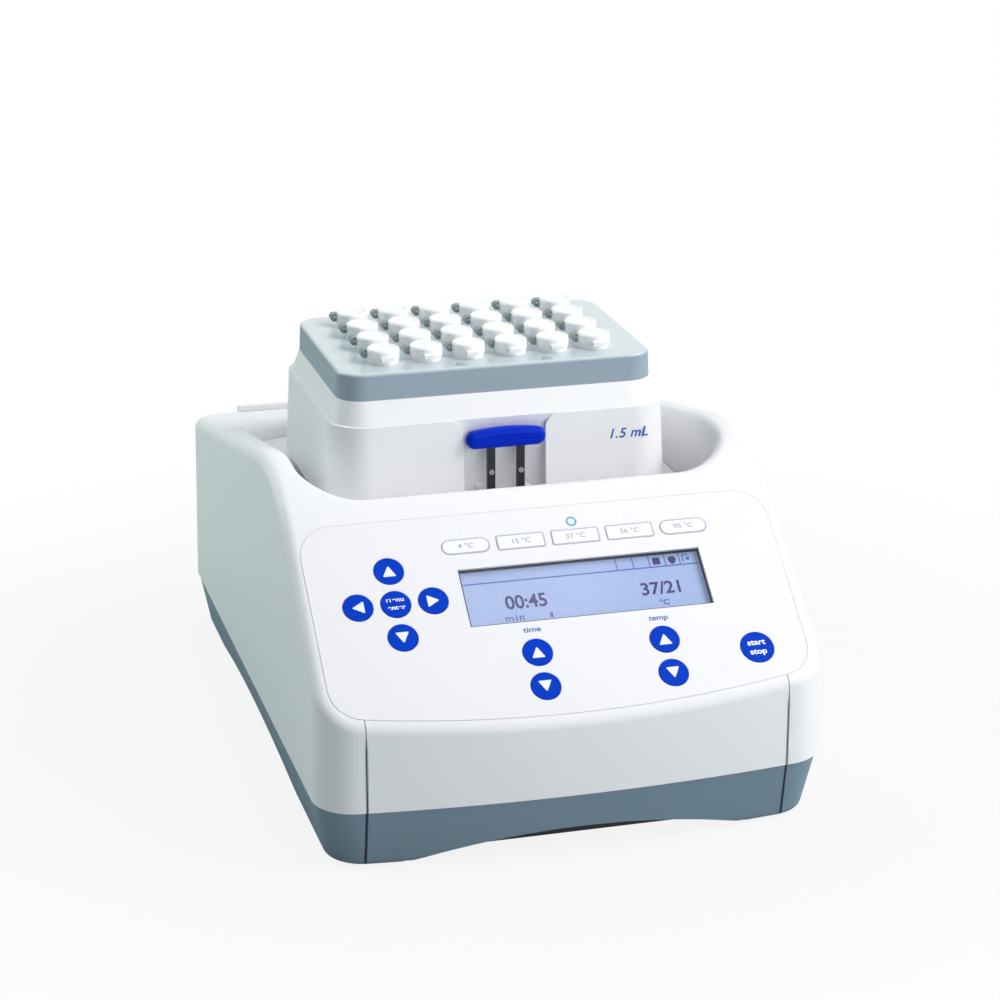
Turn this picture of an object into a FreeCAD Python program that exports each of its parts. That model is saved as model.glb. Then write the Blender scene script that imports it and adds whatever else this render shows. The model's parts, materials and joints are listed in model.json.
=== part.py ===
import FreeCAD, Part
import math
import os
import re

import Sketcher

# Dry bath incubator: a bench instrument that holds a lift-off block of small tubes at a set
# temperature. X runs to the right, Y to the back and Z up. The origin is on the table, under
# the middle of the instrument. All sizes are millimetres and degrees.

Vector = FreeCAD.Vector
doc = FreeCAD.newDocument("dry_bath")
sheet = doc.addObject("Spreadsheet::Sheet", "sizes")
pieces = []

# Driving dimensions, kept in the sheet under the same names
SIZES = {
    # Outer form
    "body_width": 206,
    "body_depth": 304,
    "body_height": 133,
    "wall": 3,
    "split_height": 25.7,
    "side_draft": 1,
    "nose_height": 56.4,
    "panel_angle": 38.9,
    "shoulder_radius": 72,
    "rear_slope": 11.6,
    "front_bow": 690,
    "rear_bow": 1500,
    "front_corner": 17,
    "rear_corner": 20,
    "edge_round": 5,
    "seam_gap": 0.4,
    "fit_gap": 0.3,
    "front_seam_side": 18.2,
    "rear_seam_side": 24,
    "rear_lip": 2.5,
    "rear_panel_depth": 9,
    "recess_depth": 4.2,
    "recess_half": 28,
    "recess_high": 84,
    "recess_round": 4,
    "past": 1,
    "overrun": 30,
    "seam_reach": 60,
    "slip": 0.02,
    "hair": 0.001,

    # Grey base
    "base_step": 0.6,
    "base_taper": 4.6,
    "base_bottom": 1.2,
    "base_edge": 3,
    "floor_height": 9.5,
    "floor_thick": 2.5,
    "skirt_wall": 3.5,
    "front_arch_rise": 9.6,
    "front_arch_span": 140,
    "side_arch_rise": 8.2,
    "side_arch_span": 190,
    "side_arch_y": 10,
    "foot_side": 33,
    "foot_end": 47,
    "skirt_depth": 14,
    "plate_side": 23,
    "plate_front_end": 13,
    "plate_rear_end": 14,
    "plate_drop": 5.5,
    "sheet_thick": 1.5,
    "vent_slot": 3,
    "belly_slot_length": 70,
    "belly_slot_count": 9,
    "rubber_foot_radius": 7,
    "rubber_foot_height": 3,
    "rubber_foot_side": 23,
    "rubber_foot_end": 25,
    "boss_side": 13,
    "boss_end": 43,
    "boss_radius": 4.5,
    "screw_radius": 1.5,
    "screw_head": 3.2,
    "screw_head_height": 2.2,
    "screw_sink": 0.4,
    "screw_reach": 22,
    "screw_bite": 14,

    # Well in the top
    "well_side": 14,
    "well_ahead": 81.2,
    "well_behind": 79.8,
    "well_corner": 24,
    "well_draft": 2,
    "well_round": 4.5,
    "well_floor": 97,
    "well_floor_thick": 3,
    "well_lip": 5,

    # Control panel, measured along the slope from the front edge
    "bezel_top": 92,
    "overlay_side": 6.5,
    "overlay_front": 4,
    "overlay_top": 96.8,
    "overlay_corner": 14,
    "overlay_thick": 0.5,
    "overlay_proud": 0.15,
    "key_radius": 5.9,
    "start_key_radius": 6.75,
    "key_proud": 0.35,
    "key_flange": 1,
    "key_flange_thick": 0.8,
    "key_travel": 0.4,
    "key_gap": 0.25,
    "press_gap": 0.1,
    "stem_radius": 2,
    "nav_x": -63.3,
    "nav_v": 59,
    "nav_pitch": 15,
    "time_x": -12.2,
    "temp_x": 39.5,
    "step_key_v": 31.7,
    "start_side": 27.1,
    "start_v": 23.9,
    "preset_x": 14.6,
    "preset_v": 82.2,
    "preset_pitch": 22.6,
    "preset_length": 19.4,
    "preset_width": 6.6,
    "preset_corner": 0.8,
    "preset_end_corner": 3.25,
    "light_v": 89.3,
    "light_radius": 1.5,
    "display_left": -35.6,
    "display_right": 63.4,
    "display_low": 45.9,
    "display_high": 71.5,
    "display_depth": 2.6,
    "frame_width": 3,
    "window_thick": 0.6,
    "board_depth": 9.5,
    "board_thick": 1.6,
    "board_gap": 3.1,
    "board_low": 10.5,
    "board_high": 91,
    "switch_side": 6,
    "switch_height": 3.5,
    "plunger_height": 4.3,
    "plunger_radius": 1.6,
    "post_radius": 2.2,
    "post_inset": 4,

    # Heating and cooling parts under the block
    "block_setback": 170.2,
    "heater_length": 128,
    "heater_width": 88,
    "heater_top": 104,
    "heater_thick": 12,
    "gasket_width": 4,
    "gasket_height": 2,
    "module_side": 40,
    "module_thick": 4,
    "module_pitch": 42,
    "sink_length": 144,
    "sink_width": 116,
    "sink_base": 6,
    "fin_height": 30,
    "fin_thick": 2,
    "fin_pitch": 9.3,
    "fin_count": 15,
    "sink_post_x": 66,
    "sink_post_y": 52,
    "sink_post_radius": 4,
    "sink_screw_bite": 7,

    # Fan and rear connections
    "inlet_to_fan": 64,
    "fan_below": 36.805,
    "fan_side": 60,
    "fan_thick": 15,
    "fan_gap": 4,
    "fan_bore": 28.5,
    "fan_radius": 27,
    "hub_radius": 13,
    "motor_radius": 14,
    "motor_thick": 2,
    "strut_thick": 2,
    "bearing_radius": 2.2,
    "bearing_length": 6,
    "rotor_thick": 11,
    "rotor_inset": 1,
    "pad_radius": 3,
    "pad_inset": 4,
    "grille_count": 9,
    "blade_count": 7,
    "blade_thick": 1.4,
    "blade_root_rise": 42,
    "blade_tip_rise": 28,
    "blade_root_chord": 11,
    "blade_tip_chord": 15,
    "blade_camber": 22,
    "inlet_side": 35,
    "inlet_z": 45,
    "inlet_wide": 48,
    "inlet_high": 27,
    "socket_wide": 24.6,
    "socket_high": 17.4,
    "socket_depth": 17,
    "socket_chamfer": 5,
    "inlet_rim_side": 3,
    "inlet_rim_top": 2,
    "inlet_flange": 2,
    "inlet_back": 3,
    "prong_wide": 2,
    "prong_high": 4,
    "prong_spread": 7,
    "prong_drop": 1.6,
    "prong_rise": 2.4,
    "prong_short": 3,
    "rocker_z": 72,
    "rocker_wide": 22,
    "rocker_high": 12.8,
    "rocker_tilt": 8,
    "rocker_proud": 0.6,
    "rocker_dip": 45,
    "rocker_rim": 1.5,
    "rocker_case_depth": 15,
    "rocker_void_depth": 6,
    "rocker_side_gap": 0.7,
    "rocker_pin_radius": 1,
    "rocker_pivot_depth": 0.9,
    "rocker_keel": 2.5,
    "rocker_keel_drop": 2.3,

    # Power supply and board on the floor of the base
    "supply_length": 78,
    "supply_depth": 112,
    "supply_height": 30,
    "power_board_width": 74,
    "power_board_depth": 110,
    "supply_x": -44,
    "supply_slot_count": 6,
    "supply_slot_pitch": 8,
    "supply_slot_margin": 8,
    "supply_slot_wide": 2.5,
    "supply_slot_deep": 1.5,
    "power_board_x": 44,
    "power_board_y": -8,
    "power_board_lift": 5,
    "power_leg_radius": 2.5,
    "power_leg_inset": 5,
    "capacitor_radius": 8,
    "capacitor_height": 20,
    "capacitor_y": -40,
    "choke_length": 24,
    "choke_width": 20,
    "choke_height": 16,

    # Thermoblock
    "core_length": 120,
    "core_width": 78,
    "core_top": 160.5,
    "core_screw_inset": 5,
    "core_screw_bite": 1.6,
    "plate_length": 134.2,
    "plate_width": 93.5,
    "plate_bottom": 152.3,
    "plate_top": 163.5,
    "plate_corner": 11,
    "plate_wall": 2.5,
    "plate_draft": 0.5,
    "plate_round": 1.2,
    "ledge_height": 142.9,
    "ledge_side": 4.4,
    "ledge_front": 6.5,
    "ledge_step": 1.1,
    "skirt_bottom": 106.5,
    "skirt_flare": 1.9,
    "skirt_thick": 2.6,
    "notch_half": 17.5,
    "notch_depth": 9.4,
    "notch_flare": 6,
    "tube_columns": 6,
    "tube_rows": 4,
    "column_pitch": 18.1,
    "row_pitch": 19.5,
    "tube_radius": 5.35,
    "tube_length": 37.5,
    "tube_cone": 17,
    "tube_tip": 1.8,
    "tube_fit": 0.25,
    "collar_radius": 6.5,
    "collar_height": 1.8,
    "lid_radius": 6.9,
    "lid_height": 4.4,
    "lid_round": 1.1,
    "lid_dish": 0.4,
    "tab_wide": 5,
    "tab_long": 3,
    "tab_thick": 1.4,
    "tab_reach": 1.9,
    "tab_rise": 0.4,
    "slot_wide": 3,
    "slot_long": 4,
    "slot_depth": 2.2,

    # Release lever on the front of the block
    "lever_ahead": 55,
    "grip_height": 134.8,
    "grip_half": 17,
    "grip_tall": 7.6,
    "grip_deep": 6,
    "grip_bow": 90,
    "grip_round": 2.6,
    "leg_x": 6.3,
    "leg_wide": 3.2,
    "leg_deep": 2.2,
    "pivot_height": 110,
    "pivot_radius": 1.25,
    "ear_wide": 2.4,
    "ear_gap": 0.6,
    "ear_height": 6,
    "leg_eye": 2.4,
    "rivet_height": 120.7,
    "rivet_radius": 1.1,
    "rivet_proud": 0.5,
}

# Places that follow from them
PLACES = {
    "front_seam": "body_width / 2 - front_seam_side",
    "rear_seam": "body_width / 2 - rear_seam_side",
    "foot_x": "body_width / 2 - foot_side",
    "foot_y": "body_depth / 2 - foot_end",
    "plate_x": "body_width / 2 - plate_side",
    "plate_front": "body_depth / 2 - plate_front_end",
    "plate_rear": "body_depth / 2 - plate_rear_end",
    "rubber_foot_x": "body_width / 2 - rubber_foot_side",
    "rubber_foot_y": "body_depth / 2 - rubber_foot_end",
    "boss_x": "body_width / 2 - boss_side",
    "boss_y": "body_depth / 2 - boss_end",
    "block_y": "block_setback - body_depth / 2",
    "well_half": "body_width / 2 - well_side",
    "well_front": "block_y - well_ahead",
    "well_rear": "block_y + well_behind",
    "lever_y": "block_y - lever_ahead",
    "overlay_half": "body_width / 2 - overlay_side",
    "board_half": "front_seam - board_gap",
    "start_x": "body_width / 2 - start_side",
    "inlet_x": "inlet_side - rear_seam",
    "fan_x": "inlet_x + inlet_to_fan",
    "shoulder_z": "body_height - shoulder_radius",
    "shoulder_run": "(shoulder_radius + (shoulder_z - nose_height) * cos(panel_angle)) / sin(panel_angle)",
    "rear_top": "shoulder_z + shoulder_radius / cos(rear_slope) - (body_depth - shoulder_run) * tan(rear_slope)",
    "fan_z": "rear_top - fan_below",
}

for row, (alias, value) in enumerate(SIZES.items(), start=1):
    sheet.set(f"A{row}", alias)
    sheet.set(f"B{row}", str(value))
    sheet.setAlias(f"B{row}", alias)
doc.recompute()


def bound(text):
    """Put the sheet's name before each of its aliases in an expression."""
    def known(word):
        if word[0] in PLACES:
            return "(" + bound(PLACES[word[0]]) + ")"
        return "sizes." + word[0] if word[0] in SIZES else word[0]
    return re.sub(r"[a-z][a-z_0-9]*", known, str(text))


def number(text):
    """The value of an expression at the sheet's present sizes."""
    return float(sheet.evalExpression(bound(text)))


def bind(item, **properties):
    """Tie properties of an object to expressions on the sheet."""
    for name, text in properties.items():
        item.setExpression(name, bound(text))
    return item


def place(item, x=0, y=0, z=0, turn=None, angle=0):
    """Tie an object's place to the sheet, turned about one axis if asked."""
    axis = {"x": "1; 0; 0", "y": "0; 1; 0", "z": "0; 0; 1"}[turn or "z"]
    text = f"placement(vector({x}; {y}; {z}); rotation(vector({axis}); {angle}))"
    item.setExpression("Placement", bound(text))
    return item


def on_panel(item, x=0, v=0, n=0):
    """Place an object on the slope: x across, v up the slope and n out of it."""
    up = f"-body_depth / 2 + ({v}) * cos(panel_angle) - ({n}) * sin(panel_angle)"
    high = f"nose_height + ({v}) * sin(panel_angle) + ({n}) * cos(panel_angle)"
    return place(item, x, up, high, "x", "panel_angle")


def box(name, length, width, height):
    return bind(doc.addObject("Part::Box", name), Length=length, Width=width, Height=height)


def cylinder(name, radius, height):
    return bind(doc.addObject("Part::Cylinder", name), Radius=radius, Height=height)


def fuse(name, shapes):
    joined = doc.addObject("Part::MultiFuse", name)
    joined.Shapes = shapes
    return joined


def cut(name, base, tools):
    """Base less one or more tools."""
    result = doc.addObject("Part::Cut", name)
    result.Base = base
    result.Tool = tools[0] if len(tools) == 1 else fuse(name + "_tools", tools)
    return result


def common(name, first, second):
    result = doc.addObject("Part::Common", name)
    result.Base = first
    result.Tool = second
    return result


def group(name, shapes):
    """Separate solids kept together in one node."""
    result = doc.addObject("Part::Compound", name)
    result.Links = shapes
    return result


def keep(node, item):
    """Give a finished piece the name of its node."""
    item.Label = node
    pieces.append(item)
    return item


def sketch_on(body, name, role, offset=0):
    """A sketch on one of the body's own planes, moved along the plane's normal."""
    sketch = body.newObject("Sketcher::SketchObject", name)
    plane = [feature for feature in body.Origin.OriginFeatures if feature.Role == role][0]
    sketch.AttachmentSupport = [(plane, "")]
    sketch.MapMode = "FlatFace"
    sketch.setExpression("AttachmentOffset.Base.z", bound(offset))
    return sketch


def draw(sketch, corners):
    """A closed outline through corners (x, y) or (x, y, radius of the arc to the next corner).

    A positive radius bows the side to the right of its direction, a negative one to the left.
    """
    points = [Vector(number(corner[0]), number(corner[1]), 0) for corner in corners]
    first = sketch.GeometryCount
    count = len(points)
    for index, corner in enumerate(corners):
        start = points[index]
        end = points[(index + 1) % count]
        if len(corner) == 2:
            sketch.addGeometry(Part.LineSegment(start, end))
            continue
        radius = number(corner[2])
        chord = end - start
        rise = abs(radius) - math.sqrt(radius ** 2 - chord.Length ** 2 / 4)
        side = Vector(chord.y, -chord.x, 0).normalize()
        middle = (start + end) / 2 + side * math.copysign(rise, radius)
        sketch.addGeometry(Part.Arc(start, middle, end))
    for index, corner in enumerate(corners):
        after = first + (index + 1) % count
        near = _end_at(sketch, first + index, points[(index + 1) % count])
        far = _end_at(sketch, after, points[(index + 1) % count])
        sketch.addConstraint(Sketcher.Constraint("Coincident", first + index, near, after, far))
    for index, corner in enumerate(corners):
        spot = _end_at(sketch, first + index, points[index])
        for kind, text in (("DistanceX", corner[0]), ("DistanceY", corner[1])):
            rule = Sketcher.Constraint(kind, -1, 1, first + index, spot, number(text))
            which = sketch.addConstraint(rule)
            sketch.setExpression(f"Constraints[{which}]", bound(text))
        if len(corner) == 3:
            which = sketch.addConstraint(Sketcher.Constraint("Radius", first + index, abs(number(corner[2]))))
            sketch.setExpression(f"Constraints[{which}]", bound(f"abs({corner[2]})"))
    return sketch


def _end_at(sketch, edge, point):
    """Which end of a sketch edge lies on a point."""
    return 1 if (sketch.getPoint(edge, 1) - point).Length < 1e-4 else 2


def draw_circle(sketch, x, y, radius):
    edge = sketch.addGeometry(Part.Circle(Vector(number(x), number(y), 0), Vector(0, 0, 1), number(radius)))
    for kind, text in (("DistanceX", x), ("DistanceY", y)):
        which = sketch.addConstraint(Sketcher.Constraint(kind, -1, 1, edge, 3, number(text)))
        sketch.setExpression(f"Constraints[{which}]", bound(text))
    which = sketch.addConstraint(Sketcher.Constraint("Radius", edge, number(radius)))
    sketch.setExpression(f"Constraints[{which}]", bound(radius))


def rounded(left, right, front, rear, corner):
    """Corners of a rectangle with round corners, for draw."""
    quarter = f"({corner})"
    return [
        (f"{left} + {quarter}", front),
        (f"{right} - {quarter}", front, quarter),
        (right, f"{front} + {quarter}"),
        (right, f"{rear} - {quarter}", quarter),
        (f"{right} - {quarter}", rear),
        (f"{left} + {quarter}", rear, quarter),
        (left, f"{rear} - {quarter}"),
        (left, f"{front} + {quarter}", quarter),
    ]


def pad(body, name, sketch, length, midplane=False, reverse=False):
    feature = body.newObject("PartDesign::Pad", name)
    feature.Profile = sketch
    feature.Midplane = midplane
    feature.Reversed = reverse
    return bind(feature, Length=length)


def pocket(body, name, sketch, length, midplane=False, reverse=False):
    feature = body.newObject("PartDesign::Pocket", name)
    feature.Profile = sketch
    feature.Midplane = midplane
    feature.Reversed = reverse
    return bind(feature, Length=length)


def loft(body, name, sections, kind="PartDesign::AdditiveLoft"):
    """A loft between outlines at heights: sections are (height, corners)."""
    sketches = []
    for index, (height, corners) in enumerate(sections):
        sketch = sketch_on(body, f"{name}_{index}", "XY_Plane", height)
        sketches.append(draw(sketch, corners))
    feature = body.newObject(kind, name)
    feature.Profile = sketches[0]
    feature.Sections = sketches[1:]
    feature.Ruled = True
    return feature


def fillet(body, name, base, chosen, radius):
    """Round the edges of the base feature that a test picks."""
    doc.recompute()
    names = [f"Edge{index}" for index, edge in enumerate(base.Shape.Edges, 1) if chosen(edge)]
    feature = body.newObject("PartDesign::Fillet", name)
    feature.Base = (base, names)
    bind(feature, Radius=radius)
    body.Tip = feature
    return feature


def middle(edge):
    """The point halfway along an edge."""
    return edge.valueAt((edge.FirstParameter + edge.LastParameter) / 2)


def upright(edge):
    """Whether an edge runs up rather than across."""
    rise = edge.valueAt(edge.LastParameter) - edge.valueAt(edge.FirstParameter)
    return abs(rise.z) > 0.8 * rise.Length > 0


def round_meeting(name, base, first, second, radius):
    """Round the edges of a shape that lie on both of two other shapes."""
    doc.recompute()
    rounding = doc.addObject("Part::Fillet", name)
    rounding.Base = base
    spots = []
    for index, edge in enumerate(base.Shape.Edges, 1):
        span = edge.LastParameter - edge.FirstParameter
        points = [edge.valueAt(edge.FirstParameter + span * share) for share in (0.25, 0.5, 0.75)]
        if all(_touches(point, shape) for point in points for shape in (first, second)):
            spots.append((index, number(radius), number(radius)))
    rounding.Edges = spots
    return rounding


def _touches(point, item):
    """Whether a point lies on the surface of an object."""
    spot = Part.Vertex(point)
    return any(spot.distToShape(face)[0] < 1e-3 for face in item.Shape.Faces)


def plan(inset):
    """Plan outline of the instrument, bowed front and rear, drawn in by an inset."""
    half = f"(body_width / 2 - ({inset}))"
    front = f"(-body_depth / 2 + front_bow - sqrt((front_bow - ({inset})) ^ 2 - {half} ^ 2))"
    rear = f"(body_depth / 2 - rear_bow + sqrt((rear_bow - ({inset})) ^ 2 - {half} ^ 2))"
    return [
        (f"-{half}", front, f"front_bow - ({inset})"),
        (half, front),
        (half, rear, f"rear_bow - ({inset})"),
        (f"-{half}", rear),
    ]


def draft(body, name, base, chosen, neutral_height, angle, reverse=False):
    """Tilt the faces that a test picks about the flat face at a height."""
    doc.recompute()
    faces = list(enumerate(base.Shape.Faces, 1))
    flat = [f"Face{index}" for index, face in faces if _level(face, number(neutral_height))]
    feature = body.newObject("PartDesign::Draft", name)
    feature.Base = (base, [f"Face{index}" for index, face in faces if chosen(face)])
    feature.NeutralPlane = (base, flat[:1])
    feature.Reversed = reverse
    return bind(feature, Angle=angle)


def _level(face, height):
    """Whether a face is flat at one height."""
    extent = face.BoundBox
    return extent.ZLength < 1e-6 and abs(extent.ZMin - height) < 1e-4


def round_corners(body, name, base, inset):
    """Round the four upright corners of a body form, tighter at the front."""
    def at_front(edge):
        return upright(edge) and middle(edge).y < 0

    def at_rear(edge):
        return upright(edge) and middle(edge).y > 0

    front = fillet(body, name + "_front", base, at_front, f"front_corner - ({inset})")
    return fillet(body, name + "_rear", front, at_rear, f"rear_corner - ({inset})")


def plan_form(name, inset, bottom):
    """A tall solid of the plan outline, its two sides leaning in towards the top."""
    body = doc.addObject("PartDesign::Body", name)
    outline = draw(sketch_on(body, name + "_plan", "XY_Plane", bottom), plan(inset))
    block = pad(body, name + "_block", outline, f"body_height + wall - ({bottom})")

    def side(face):
        return face.BoundBox.XLength < 1e-3

    leaning = draft(body, name + "_draft", block, side, bottom, "side_draft")
    return body, round_corners(body, name + "_corner", leaning, inset)


def housing_form(name, inset, bottom):
    """The solid form of the housing: drafted plan under the side profile of slope and shoulder."""
    body = plan_form(name, inset, bottom)[0]
    centre_y = "(shoulder_run - body_depth / 2)"
    arc = f"(shoulder_radius - ({inset}))"
    nose = f"(nose_height - ({inset}) / cos(panel_angle))"
    front_y = "(-body_depth / 2 - overrun)"
    rear_y = "(body_depth / 2 + overrun)"
    rear_tangent_y = f"({centre_y} + {arc} * sin(rear_slope))"
    rear_tangent_z = f"(shoulder_z + {arc} * cos(rear_slope))"
    over = "(body_height + overrun)"
    corners_above = [
        (front_y, f"{nose} - overrun * tan(panel_angle)"),
        (f"{centre_y} - {arc} * sin(panel_angle)", f"shoulder_z + {arc} * cos(panel_angle)", f"-{arc}"),
        (rear_tangent_y, rear_tangent_z),
        (rear_y, f"{rear_tangent_z} - tan(rear_slope) * ({rear_y} - {rear_tangent_y})"),
        (rear_y, over),
        (front_y, over),
    ]
    profile = draw(sketch_on(body, name + "_profile", "YZ_Plane"), corners_above)
    above = pocket(body, name + "_above", profile, "body_width + 2 * wall", midplane=True)
    body.Tip = above
    return body, above


def top_height(y):
    """Height of the housing's top surface at a depth y, at the sheet's present sizes."""
    angle = math.radians(number("panel_angle"))
    slope = math.radians(number("rear_slope"))
    arc = number("shoulder_radius")
    centre_z = number("shoulder_z")
    start = -number("body_depth") / 2
    nose = number("nose_height")
    centre_y = start + number("shoulder_run")
    if y < centre_y - arc * math.sin(angle):
        return nose + (y - start) * math.tan(angle)
    if y < centre_y + arc * math.sin(slope):
        return centre_z + math.sqrt(arc ** 2 - (y - centre_y) ** 2)
    tangent_y = centre_y + arc * math.sin(slope)
    return centre_z + arc * math.cos(slope) - (y - tangent_y) * math.tan(slope)


def well_form(name, outset, bottom):
    """The block's well as a solid, wider towards the top."""
    body = doc.addObject("PartDesign::Body", name)

    def ring(lean):
        half = f"(well_half + ({outset}) - {lean})"
        front = f"(well_front - ({outset}) + {lean})"
        rear = f"(well_rear + ({outset}) - {lean})"
        return rounded(f"-{half}", half, front, rear, f"well_corner + ({outset}) - {lean}")

    loft(body, name + "_loft", [(bottom, ring("well_draft")), ("body_height + wall", ring("0"))])
    return body


def slab(name, length, width, height, x, y, z):
    """A box centred on x and y, standing on z."""
    return place(box(name, length, width, height), f"({x}) - ({length}) / 2", f"({y}) - ({width}) / 2", z)


def shape_plate(name, corners, thick, low):
    """A flat plate of an outline, from the level low upwards."""
    body = doc.addObject("PartDesign::Body", name)
    sketch = draw(sketch_on(body, name + "_outline", "XY_Plane", low), corners)
    pad(body, name + "_pad", sketch, thick)
    return body


# Housing: the outer form less the inner one, with the walls of the well added

outer, outer_top = housing_form("outer_form", "0", "split_height")


def top_edge(edge):
    """An edge of the housing's rim, where the top meets a side, the front or the rear."""
    point = middle(edge)
    if abs(point.z - top_height(point.y)) > 0.05:
        return False
    ends = [vertex.Point for vertex in edge.Vertexes]
    straight = len(ends) == 2 and abs(ends[0].y - ends[1].y) < 1e-6 and abs(point.y - ends[0].y) < 1e-6
    return not straight


fillet(outer, "outer_rounding", outer_top, top_edge, "edge_round")
inner, inner_top = housing_form("inner_form", "wall", "split_height - wall")

shell = cut("housing_shell", outer, [inner])
well_outer = common("well_outer", well_form("well_wall", "wall", "well_floor - wall"), outer)
well_cavity = well_form("well_cavity", "0", "well_floor")
well_mouth = well_form("well_mouth", "-well_lip", "well_floor - 2 * wall")

bosses = []
for side in (-1, 1):
    for end in (-1, 1):
        boss = cylinder("boss", "boss_radius", "body_height")
        place(boss, f"{side} * boss_x", f"{end} * boss_y", "split_height")
        bosses.append(boss)
boss_form = common("boss_form", fuse("boss_set", bosses), outer)
solid_upper = fuse("solid_upper", [shell, well_outer, boss_form])
hollow_upper = cut("hollow_upper", solid_upper, [well_cavity, well_mouth])
rimmed_upper = round_meeting("rimmed_upper", hollow_upper, outer, well_cavity, "well_round")


# Regions that split the housing along its seams

def front_region(name, slack):
    """The part of the housing between the front seams, up to the top of the bezel."""
    half = f"(front_seam + {slack})"
    region = box(name, f"2 * {half}", "bezel_top + seam_reach", "overrun + edge_round")
    return on_panel(region, f"-{half}", "-seam_reach", "-overrun")


def rear_region(name, slack):
    """The part of the rear wall between the rear seams."""
    half = f"(rear_seam + {slack})"
    depth = f"(rear_panel_depth + {slack})"
    region = box(name, f"2 * {half}", f"{depth} + wall", "body_height")
    return place(region, f"-{half}", f"body_depth / 2 - {depth}", "split_height")


# Keys: name, place across and up the slope, and kind
KEYS = [
    ("nav_up", "nav_x", "nav_v + nav_pitch", "round"),
    ("nav_left", "nav_x - nav_pitch", "nav_v", "round"),
    ("nav_enter", "nav_x", "nav_v", "round"),
    ("nav_right", "nav_x + nav_pitch", "nav_v", "round"),
    ("nav_down", "nav_x", "nav_v - nav_pitch", "round"),
    ("time_up", "time_x", "step_key_v", "round"),
    ("time_down", "time_x", "step_key_v - nav_pitch", "round"),
    ("temp_up", "temp_x", "step_key_v", "round"),
    ("temp_down", "temp_x", "step_key_v - nav_pitch", "round"),
    ("start_stop", "start_x", "start_v", "start"),
]
for step in (-2, -1, 0, 1, 2):
    kind = "preset_end" if abs(step) == 2 else "preset"
    KEYS.append((f"preset_{step + 3}", f"preset_x + {step} * preset_pitch", "preset_v", kind))


def key_disc(name, kind, low, high, grow="0"):
    """A key's outline between two levels over the slope, for the key or for its hole."""
    height = f"({high}) - ({low})"
    if kind.startswith("preset"):
        body = doc.addObject("PartDesign::Body", name)
        half = f"(preset_length / 2 + {grow})"
        tall = f"(preset_width / 2 + {grow})"
        outline = rounded(f"-{half}", half, f"-{tall}", tall, f"({kind}_corner + {grow})")
        pad(body, name + "_pad", draw(sketch_on(body, name + "_outline", "XY_Plane"), outline), height)
        return body
    radius = "start_key_radius" if kind == "start" else "key_radius"
    return cylinder(name, f"{radius} + {grow}", height)


def key_holes(prefix, low, high):
    """All the holes for keys and lights through a sheet on the slope."""
    holes = []
    for key, x, v, kind in KEYS:
        hole = key_disc(f"{key}_{prefix}_hole", kind, low, high, "key_gap")
        holes.append(on_panel(hole, x, v, low))
        if kind.startswith("preset"):
            spot = cylinder(f"{key}_{prefix}_light_hole", "light_radius", f"({high}) - ({low})")
            holes.append(on_panel(spot, x, "light_v", low))
    return holes


def display_box(name, grow, low, high):
    """A rectangle round the display between two levels over the slope."""
    length = f"(display_right - display_left + 2 * ({grow}))"
    width = f"(display_high - display_low + 2 * ({grow}))"
    item = box(name, length, width, f"({high}) - ({low})")
    return on_panel(item, f"display_left - ({grow})", f"display_low - ({grow})", low)


def overlay_form(name, grow, low, high):
    """The overlay's outline, its lower edge bowed like the front of the instrument."""
    body = doc.addObject("PartDesign::Body", name)
    half = f"(overlay_half + ({grow}))"
    bow = f"(front_bow * cos(panel_angle) + ({grow}))"
    low_side = f"(overlay_front + front_bow * cos(panel_angle) - sqrt({bow} ^ 2 - {half} ^ 2))"
    outline = [(f"-{half}", low_side, bow), (half, low_side), (half, f"overlay_top + ({grow})"),
               (f"-{half}", f"overlay_top + ({grow})")]
    plate = pad(body, name + "_pad", draw(sketch_on(body, name + "_outline", "XY_Plane"), outline),
                f"({high}) - ({low})")
    fillet(body, name + "_corners", plate, upright, f"overlay_corner + ({grow})")
    return on_panel(body, "0", "0", low)


overlay_bed = "-overlay_thick + overlay_proud"
bed = overlay_form("overlay_bed", "fit_gap", overlay_bed, "edge_round")
upper_cut = cut("upper_cut", rimmed_upper,
                [front_region("front_opening", "seam_gap / 2"), rear_region("rear_opening", "seam_gap / 2"), bed])
screw_bores = []
for side in (-1, 1):
    for end in (-1, 1):
        bore = cylinder("boss_bore", "screw_radius", "screw_reach")
        screw_bores.append(place(bore, f"{side} * boss_x", f"{end} * boss_y", "split_height - past"))
keep("upper_housing", cut("upper_housing_solid", upper_cut, screw_bores))

bezel_blank = common("bezel_blank", shell, front_region("bezel_region", "-seam_gap / 2"))
board_posts = []
for side in (-1, 1):
    for v in ("board_low + post_inset / 2", "board_high - post_inset"):
        post = cylinder("board_post", "post_radius", "board_depth - wall / 2")
        board_posts.append(on_panel(post, f"{side} * (board_half - post_inset)", v, "-board_depth"))
bezel_posts = fuse("bezel_posts", [bezel_blank] + board_posts)
bezel_cuts = [bed, display_box("display_opening", "frame_width + fit_gap", "-board_depth", "edge_round")]
keep("front_bezel", cut("front_bezel_solid", bezel_posts, bezel_cuts + key_holes("bezel", "-wall - past", "past")))

overlay_sheet = overlay_form("overlay_sheet", "0", overlay_bed, "overlay_proud")
overlay_cuts = [display_box("overlay_window", "0", "-past", "past")] + key_holes("overlay", "-past", "past")
keep("keypad_overlay", cut("keypad_overlay_solid", overlay_sheet, overlay_cuts))


# Display and control board behind the slope

window_low = f"({overlay_bed} - window_thick)"
frame_outer = display_box("display_frame_outer", "frame_width", "-display_depth", window_low)
frame_inner = display_box("display_frame_inner", "0", "-display_depth - past", "past")
keep("display_frame", cut("display_frame_solid", frame_outer, [frame_inner]))
keep("display_window", display_box("display_window_solid", "frame_width", window_low, overlay_bed))
keep("display_module", display_box("display_module_solid", "frame_width", "-board_depth", "-display_depth"))

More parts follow.
